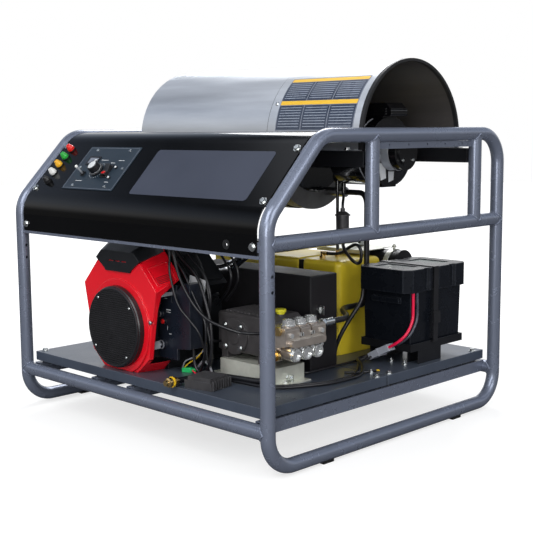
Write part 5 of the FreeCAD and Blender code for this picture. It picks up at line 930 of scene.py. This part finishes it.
class FitEngine(bpy.types.Operator):
    """Finishes the engine, its shroud and its intake screen."""
    bl_idname = "washer.fit_engine"
    bl_label = "Engine"

    def execute(self, context):
        dress(engine_black="engine_block air_cleaner", shroud_red="fan_shroud", moulded_black="shroud_cap",
              satin_black="intake_screen", cast_aluminium="flywheel_fan", plain_steel="crankshaft")
        self.weave_screen(context.scene.washer_engine.screen_pitch)
        facet = on_facet(*[CRANK + Vector(spot) for spot in (
            (0.098, -0.45, 0.184), (0.166, -0.45, 0.112), (0.107, -0.368, 0.218))])
        piece("shroud_grille_rim", "shroud_red", "shroud_red",
              border(0.068, 0.062, 0.006, 0.003, 0.0022,
                     facet @ Matrix.Translation((0.05, 0.044, -0.0004))), soft_edge=0.0006)
        # Painted shade: dark red strips stand for the shade in the grille's louvre slots
        grown("shroud_grille_slots", "lead_red_deep", "shroud_red", row_tree,
              meshed("slot", block((0.0022, 0.046, 0.0012))),
              facet @ Matrix.Translation((0.056, 0.044, 0.0003)), Count=5, Step=(0.005, 0, 0))
        piece("shroud_ear_bolt", "zinc_plate", "zinc",
              turned([(0, 0), (0.0058, 0), (0.0058, 0.0022), (0.004, 0.0038), (0, 0.0042)],
                     turned_to(0.035, -0.4548, 0.325, FRONT), 24))
        return {"FINISHED"}

    def weave_screen(self, pitch):
        """Wires both ways across the screen's face, a rim round them and four screws."""
        reach = 0.1085
        count = int(reach / pitch)
        wires = []
        for i in range(-count, count + 1):
            half = sqrt(reach ** 2 - (i * pitch) ** 2)
            for wide, tall, x, z in ((0.0014, 2 * half, i * pitch, 0), (2 * half, 0.0014, 0, i * pitch)):
                wires.append(block((wide, 0.0042, tall), turned_to(CRANK.x + x, -0.4762, CRANK.z + z)))
        piece("screen_wires", "screen_wire", "black_plastic", *wires)
        piece("screen_rim", "moulded_black", "black_plastic",
              turned([(0.108, 0), (0.114, 0), (0.114, 0.0072), (0.112, 0.0088), (0.1096, 0.0088),
                      (0.108, 0.0078)], turned_to(CRANK.x, -0.469, CRANK.z, FRONT), 96))
        turns = [radians(degrees) for degrees in (38, 128, 218, 308)]
        piece("screen_screws", "zinc_plate", "zinc",
              *[turned(dome(0.004, 0.0024), turned_to(x, -0.478, z, FRONT), 20)
                for x, z in arc(0.101, turns, CRANK.x, CRANK.z)])


class FitEngineControls(bpy.types.Operator):
    """Finishes the engine's control box, key, choke lever and regulator."""
    bl_idname = "washer.fit_engine_controls"
    bl_label = "Engine controls"

    def execute(self, context):
        dress(control_box_navy="engine_control_box", lever_silver="ignition_key choke_lever",
              regulator_grey="regulator")
        case = Matrix.Translation((0.229, -0.4205, 0.172)) @ Matrix.Rotation(radians(10), 4, "Z")
        grown("regulator_fins", "regulator_grey", "black_metal", row_tree,
              meshed("fin", block((0.006, 0.0036, 0.026))),
              case @ Matrix.Translation((0.0478, -0.037, 0.0145)), Count=8, Step=(0, 0.0105, 0))
        piece("start_button", "lamp_red", "black_plastic",
              turned([(0, 0), (0.0072, 0), (0.0072, 0.003), (0.0055, 0.0044), (0, 0.0048)],
                     turned_to(0.012, -0.3909, 0.318, FRONT), 24))
        piece("switch_rings", "wire_silver", "black_plastic",
              turned(ring(0.01, 0.0128, 0.0012), turned_to(0.008, -0.3949, 0.252, FRONT), 36),
              turned(ring(0.006, 0.0092, 0.0012), turned_to(-0.002, -0.3929, 0.338, FRONT), 36))
        marks = ((0.03, 0.352, 0.018, 0.003), (0.03, 0.345, 0.018, 0.0014), (0.02, 0.384, 0.012, 0.0014),
                 (0.024, 0.3, 0.0014, 0.012), (-0.006, 0.366, 0.009, 0.0016), (0.036, 0.284, 0.01, 0.0016))
        piece("switch_panel_marks", "label_white", "black_plastic",
              *[block((width, 0.0005, height), turned_to(x, -0.3851, z)) for x, z, width, height in marks])
        lean = Matrix.Rotation(radians(8), 4, "Y")
        piece("bare_engine_sheet", "label_white", "black_plastic",
              block((0.066, 0.0012, 0.046), Matrix.Translation((0.1, -0.3383, 0.422)) @ lean))
        skew = Matrix.Rotation(0.5, 4, "Z")
        piece("wire_plug", "plug_green", "black_plastic",
              block((0.03, 0.018, 0.013), turned_to(0.062, -0.345, 0.1785) @ skew),
              block((0.014, 0.014, 0.01), turned_to(0.079, -0.336, 0.1785) @ skew), soft_edge=0.001)
        return {"FINISHED"}


class FitExhaust(bpy.types.Operator):
    """Finishes the chromed exhaust pipe, whose end at the silencer is black."""
    bl_idname = "washer.fit_exhaust"
    bl_label = "Exhaust"

    def execute(self, context):
        dress(exhaust_chrome="exhaust")
        return {"FINISHED"}


class FitBeltDrive(bpy.types.Operator):
    """Finishes the sheaves, belts and belt guard."""
    bl_idname = "washer.fit_belt_drive"
    bl_label = "Belt drive"

    def execute(self, context):
        dress(guard_black="belt_guard", black_rubber="drive_belts", sheave_iron="pump_pulley")
        return {"FINISHED"}


class FitPump(bpy.types.Operator):
    """Finishes the pump's crankcase, head and oil cap, and adds bolts, a clip and the inlet's ring."""
    bl_idname = "washer.fit_pump"
    bl_label = "Pump"

    def execute(self, context):
        dress(crankcase_paint="pump_crankcase", nickel_forging="pump_head", oil_cap_yellow="oil_cap")
        corners = [(0.19 + x, -0.2899, 0.284 + z) for x in (-0.03, 0.03) for z in (-0.03, 0.03)]
        piece("pump_cover_bolts", "zinc_plate", "zinc", *heads(corners, FRONT, 0.0062, 0.0045, 0.008))
        piece("pump_stop_clip", "zinc_plate", "zinc",
              block((0.032, 0.026, 0.003), turned_to(0.361, -0.256, 0.1736)),
              block((0.032, 0.003, 0.024), turned_to(0.361, -0.2445, 0.1855)),
              *heads([(0.354, -0.246, 0.188), (0.369, -0.246, 0.188)], FRONT, 0.0066, 0.006),
              *heads([(0.361, -0.26, 0.175)], UP, 0.007, 0.006, 0.009))
        piece("inlet_ring", "wire_yellow", "brass",
              turned(ring(0.01, 0.0146, 0.0045), turned_to(0.165, -0.4885, 0.1862, FRONT), 36))
        return {"FINISHED"}


class FitBattery(bpy.types.Operator):
    """Finishes the battery, its box and lid, and its plug."""
    bl_idname = "washer.fit_battery"
    bl_label = "Battery"

    def execute(self, context):
        dress(battery_black="battery_box battery_lid", satin_black="battery",
              connector_grey="battery_connector")
        return {"FINISHED"}


# Hoses and cables of each piece: radius and points in millimetres, then the look if it isn't black rubber
ROUTES = {
    "water_hoses": [
        (8.5, [(384, -140.2, 325), (384, -75, 325), (384, -20, 325), (268, 74, 325), (268, 145, 325),
         (268, 196.5, 325), (268, 196.5, 400), (268, 196.5, 585), (268, 196.5, 661), (205, 196.5, 661),
         (152.3, 196.5, 661)]),
        (8, [(165, -469.7, 186.2), (165, -410, 186.2), (165, -362, 186.2), (255, -343, 186.2),
         (371, -318.5, 186.2), (371, -318.5, 229.7)]),
    ],
    "fuel_lines": [
        (5, [(252, 104, 523.7), (252, 106, 500), (256, 132, 470), (266, 152, 450), (282, 154, 458),
         (284, 154, 492), (268, 152, 512), (240, 148, 500), (206, 144.5, 474), (157.3, 144.5, 474)]),
        (4.2, [(252, 104, 620.3), (252, 104, 634.5), (238, 124.5, 650.5), (238, 124.5, 664.7)]),
        (4.8, [(214, 124.5, 664.7), (214, 124.5, 640), (214, 124.5, 590), (137, 214.5, 540),
         (137, 214.5, 500), (137, 214.5, 478.3)]),
    ],
    "deck_cables": [
        (4, [(356.8, 106.2, 189), (330, 106.2, 176.5), (330, 20, 176.5), (330, -100, 176.5),
         (330, -150, 176.5), (270, -150, 177), (60, -150, 178), (-4.7, -150, 179)]),
        (4.5, [(355.4, 122.2, 188.7), (326, 122.2, 182.4), (326, 76, 182.4), (404, 20, 182.4),
         (461, -60, 177.2), (461, -120, 177.2), (461, -190, 177.2), (392, -330, 177.2), (330, -338, 177.2),
         (170, -351, 177.2), (120, -352, 177.6), (96, -352, 200), (96, -352, 245.5)]),
        (3.6, [(371, 109, 192), (350, 60, 180), (402, 0, 178), (444, -70, 176.2), (444, -130, 176.2),
         (440, -190, 176.2), (372, -312, 176.2), (320, -318, 176.2), (200, -322, 177), (150, -330, 180),
         (136, -338, 205), (132, -336, 262)]),
        (3.6, [(448, 20, 175.6), (449, -4, 176.4), (430, -30, 176.4), (400, -60, 176.4)]),
        (2.4, [(448, 19, 175.8), (449, 26, 176), (452, 31, 174.4)], "wire_yellow"),
    ],
    "battery_leads": [
        (4.4, [(479, 150, 384.2), (479, 150, 340), (479, 150, 300), (478, 106.2, 253),
         (427.1, 106.2, 226)], "lead_red"),
        (4, [(481, 166, 384.2), (482, 167, 340), (482, 166, 300), (481, 122.2, 250),
         (427.1, 122.2, 226)], "lead_slate"),
        (6.2, [(313, 126.8, 386.5), (313, 126.8, 370), (311, 121, 345), (301, 98, 312), (284, 74, 268),
         (268, 60, 222), (259, 57, 190), (258, 57, 170.6)]),
    ],
    "control_wiring": [
        (4.2, [(-196, -402, 720), (-190, -372, 691), (-60, -392, 630), (50, -392, 558), (83, -392, 446),
         (171, -392, 351), (250, -375, 326), (305, -345, 312), (312, -279.8, 308)]),
        (4, [(-243, -394.1, 713.7), (-236, -366, 686.5), (-60, -345, 640), (40, -325.5, 552),
         (105, -325.5, 480), (140, -325.5, 380), (129, -325.5, 320), (129, -325.5, 262), (129, -279.3, 262)]),
        (4.8, [(-40, -372, 660), (10, -354, 560), (42, -352, 500), (112, -352, 462), (146, -352, 395),
         (174, -352, 309), (170, -352, 240), (152, -350, 190), (120, -338, 181)]),
        (3.6, [(-20, -350, 650), (34, -342, 560), (66, -340, 506), (133, -340, 465), (164, -340, 385),
         (130, -334, 328), (142, -333, 276), (160, -335, 215), (128, -330, 182)]),
        (3.4, [(-30, -380, 640), (20, -376, 560), (50, -375, 500), (92, -375, 456), (132, -375, 391),
         (170, -375, 344), (176, -374, 290), (150, -366, 205), (118, -350, 182)]),
        (3.2, [(-30, -404, 640), (34, -403, 560), (62, -402, 515), (56, -403, 470), (74, -405, 420),
         (96, -406, 372), (132, -400, 340), (166, -385, 300), (160, -360, 215), (110, -345, 182)]),
        (3.8, [(20, -255, 600), (70, -246, 530), (106, -240, 486), (139, -240, 444), (122, -240, 401),
         (92, -240, 372), (70, -238, 352)]),
        (3.2, [(10, -240, 600), (60, -232, 540), (120, -226, 500), (152, -225, 448), (136, -226, 402),
         (100, -230, 366)]),
    ],
    "plug_wires": [
        (3.4, [(84, -333, 181), (100, -330, 200), (118, -332, 214), (150, -340, 200), (177, -356, 190),
         (190, -372, 186)], "wire_silver"),
        (2.4, [(48, -352, 180), (56, -356, 204), (84, -346, 216), (104, -336, 226),
         (120, -334, 244)], "wire_silver"),
        (1.8, [(46, -350, 178), (60, -344, 196), (92, -344, 212), (112, -336, 232),
         (126, -330, 262)], "wire_yellow"),
        (2.6, [(190, -380, 184), (160, -382, 178), (130, -366, 178), (96, -352, 178),
         (74, -340, 179)], "lead_red"),
    ],
}


class LayHoses(bpy.types.Operator):
    """Lays the hoses, leads and cables along their routes."""
    bl_idname = "washer.lay_hoses"
    bl_label = "Hoses and cables"

    def execute(self, context):
        for name, runs in ROUTES.items():
            coats = [coat[0] if coat else "hose_rubber" for _, _, *coat in runs]
            looks = list(dict.fromkeys(coats))
            made = piece(name, looks, "rubber_black", *[
                in_look(looks.index(coat), cord(radius / 1000, metres(points)))
                for coat, (radius, points, *_) in zip(coats, runs)])
            if name == "water_hoses":
                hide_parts("hoses")
        piece("hose_crimps", "zinc_plate", "zinc",
              rod(0.011, 0.044, turned_to(0.384, -0.136, 0.325, BACK)),
              outline(hexagon(0.013), 0.012, turned_to(0.384, -0.1402, 0.325, BACK)),
              rod(0.0155, 0.034, turned_to(0.1523, 0.1965, 0.661, RIGHT)), soft_edge=0.0008)
        return {"FINISHED"}


# Lamps: name, place, size, and share of the main lamp's power
LAMPS = (("front", (1.2, -3.4, 3.4), 2.6, 1.0), ("side", (4.2, -0.6, 2.4), 2.2, 0.5),
         ("fill", (2.3, -3.0, 1.0), 1.3, 0.28), ("rear", (-2.2, 2.8, 3.6), 2.4, 1.0))

# Where the lamps aim
AIM = Vector((0, 0, 0.4))

# The floor: its size, how far out its own light grows and between which levels, and its colour where
# it is mirrored
FLOOR_RADIUS = 14
FLOOR_REACH = (0.8, 2.4)
FLOOR_LIGHT = (0.68, 1.0)
FLOOR_MIRRORED = (0.1, 0.1, 0.11, 1.0)

# The even light: its colour, where along X it weakens, and from which share of its strength to which
SKY_COLOUR = (0.93, 0.96, 1.0, 1.0)
SKY_REACH = (-0.2, 0.9)
SKY_SHARES = (1.1, 0.45)

# Reflections near the floor dim both ways along this line, between these shares of it, down to this
DIM_LINE = (0.775, 0.634, 0.0)
DIM_REACH = (0.55, 0.92)
DIM_BELOW = (0.08, 0.3)
DIMMEST = 0.14

# What a reflection shows, by its height: from under the floor's edge up to overhead
STUDIO = [(0.22, WHITE), (0.4, (0.66, 0.74, 0.88, 1)), (0.56, (0.24, 0.29, 0.39, 1)),
          (0.64, (0.05, 0.06, 0.08, 1)), (0.69, (0.1, 0.12, 0.16, 1)), (0.73, (0.95, 1.0, 1.1, 1)),
          (0.82, (0.95, 1.0, 1.1, 1)), (0.92, (0.1, 0.12, 0.16, 1))]


class SetStage(bpy.types.Operator):
    """Places the camera, the lamps and the plain floor."""
    bl_idname = "washer.set_stage"
    bl_label = "Stage"

    def execute(self, context):
        scene = context.scene
        sizes = scene.washer_stage
        scene.view_settings.view_transform = "Standard"
        self.set_camera(scene)
        self.set_world(scene, sizes.sky)
        for name, spot, size, share in LAMPS:
            lamp = bpy.data.lights.new(name, "AREA")
            lamp.energy = sizes.lamp * share
            lamp.size = size
            holder = linked(name, lamp)
            holder.location = spot
            holder.rotation_euler = (AIM - Vector(spot)).to_track_quat("-Z", "Y").to_euler()

        def plain_round(b):
            bmesh.ops.create_circle(b, cap_ends=True, segments=64, radius=FLOOR_RADIUS)

        floor = linked("floor", meshed("floor", plain_round))
        floor.data.materials.append(self.floor_coat(sizes.floor))
        return {"FINISHED"}

    def set_camera(self, scene):
        """The photo's view: turned by a yaw, tilted down by a pitch and rolled a little."""
        yaw, pitch, roll = radians(44.77), radians(7.456), radians(-0.39)
        data = bpy.data.cameras.new("camera")
        data.lens = 70.29
        data.sensor_width = 36
        scene.camera = linked("camera", data)
        turn = Matrix.Rotation(yaw, 4, "Z") @ Matrix.Rotation(pi / 2 - pitch, 4, "X")
        spot = Matrix.Translation((2.25393, -2.23542, 0.84961))
        scene.camera.matrix_world = spot @ turn @ Matrix.Rotation(roll, 4, "Z")

    def seen(self, tree):
        """One where the camera or glass looks and nought elsewhere, then the same for reflections."""
        path = node(tree, "ShaderNodeLightPath").outputs
        either = maths(tree, "MAXIMUM", path["Is Camera Ray"], path["Is Transmission Ray"])
        return either, path["Is Glossy Ray"]

    def set_world(self, scene, strength):
        """Even light all round, weaker from the right, and white where the camera looks; a reflection
        shows a studio that is white along the floor, and dim overhead and on the right."""
        world = bpy.data.worlds.new("studio")
        world.use_nodes = True
        tree = world.node_tree
        around = node(tree, "ShaderNodeTexCoord").outputs["Generated"]
        parts = node(tree, "ShaderNodeSeparateXYZ", around).outputs
        most, least = (strength * share for share in SKY_SHARES)
        level = ranged(tree, parts["X"], *SKY_REACH, most, least, "SMOOTHSTEP")
        sky = feed(tree, tree.nodes["Background"], SKY_COLOUR, level)
        along = maths(tree, "ABSOLUTE", vectors(tree, "DOT_PRODUCT", around, DIM_LINE)["Value"])
        side = ranged(tree, along, *DIM_REACH, 1.0, DIMMEST, "SMOOTHSTEP")
        rise = ranged(tree, parts["Z"], *DIM_BELOW, 0.0, 1.0, "SMOOTHSTEP")
        tone = ramp(tree, parts["Z"], STUDIO)
        walls = node(tree, "ShaderNodeBackground", tone, blend(tree, rise, side, 1.0))
        white = node(tree, "ShaderNodeBackground", WHITE, 1.0)
        seen, glossy = self.seen(tree)
        lit = node(tree, "ShaderNodeMixShader", glossy, sky.outputs[0], walls.outputs[0])
        shown = node(tree, "ShaderNodeMixShader", seen, lit.outputs[0], white.outputs[0])
        feed(tree, tree.nodes["World Output"], shown.outputs[0])
        scene.world = world

    def floor_coat(self, colour):
        """Pale, lit by itself where it is seen and more so far out, and dark in reflections."""
        made = bpy.data.materials.new("pale floor")
        made.use_nodes = True
        tree = made.node_tree
        seen, glossy = self.seen(tree)
        away = vectors(tree, "LENGTH", node(tree, "ShaderNodeTexCoord").outputs["Object"])["Value"]
        gain = maths(tree, "MULTIPLY", seen, ranged(tree, away, *FLOOR_REACH, *FLOOR_LIGHT, "SMOOTHSTEP"))
        tone = blend(tree, glossy, (*colour, 1.0), FLOOR_MIRRORED, "RGBA")
        feed(tree, tree.nodes["Principled BSDF"], Base_Color=tone, Roughness=0.85, Emission_Color=WHITE,
             Emission_Strength=gain)
        return made


class WasherPanel(bpy.types.Panel):
    """Lists the groups of pieces and their settings."""
    bl_idname = "VIEW3D_PT_pressure_washer"
    bl_label = "Pressure Washer"
    bl_space_type = "VIEW_3D"
    bl_region_type = "UI"
    bl_category = "Pressure Washer"

    def draw(self, context):
        for group in SETTINGS:
            held = getattr(context.scene, group)
            box = self.layout.box()
            for name in held.bl_rna.properties.keys():
                if name not in {"rna_type", "name"}:
                    box.prop(held, name)
        for made in OPERATORS:
            self.layout.operator(made.bl_idname)


OPERATORS = (SetStage, CoatFrame, CoatDeck, FitControls, FitNozzles, FitHood, FitBurner, FitFuel, FitEngine,
             FitEngineControls, FitExhaust, FitBeltDrive, FitPump, FitBattery, LayHoses)


def register():
    for made in (*SETTINGS.values(), *OPERATORS, WasherPanel):
        bpy.utils.register_class(made)
    for group, made in SETTINGS.items():
        setattr(bpy.types.Scene, group, bpy.props.PointerProperty(type=made))


def unregister():
    for group in SETTINGS:
        delattr(bpy.types.Scene, group)
    for made in reversed((*SETTINGS.values(), *OPERATORS, WasherPanel)):
        bpy.utils.unregister_class(made)


def main():
    register()
    for made in OPERATORS:
        group, name = made.bl_idname.split(".")
        getattr(getattr(bpy.ops, group), name)()


if __name__ == "__main__":
    main()
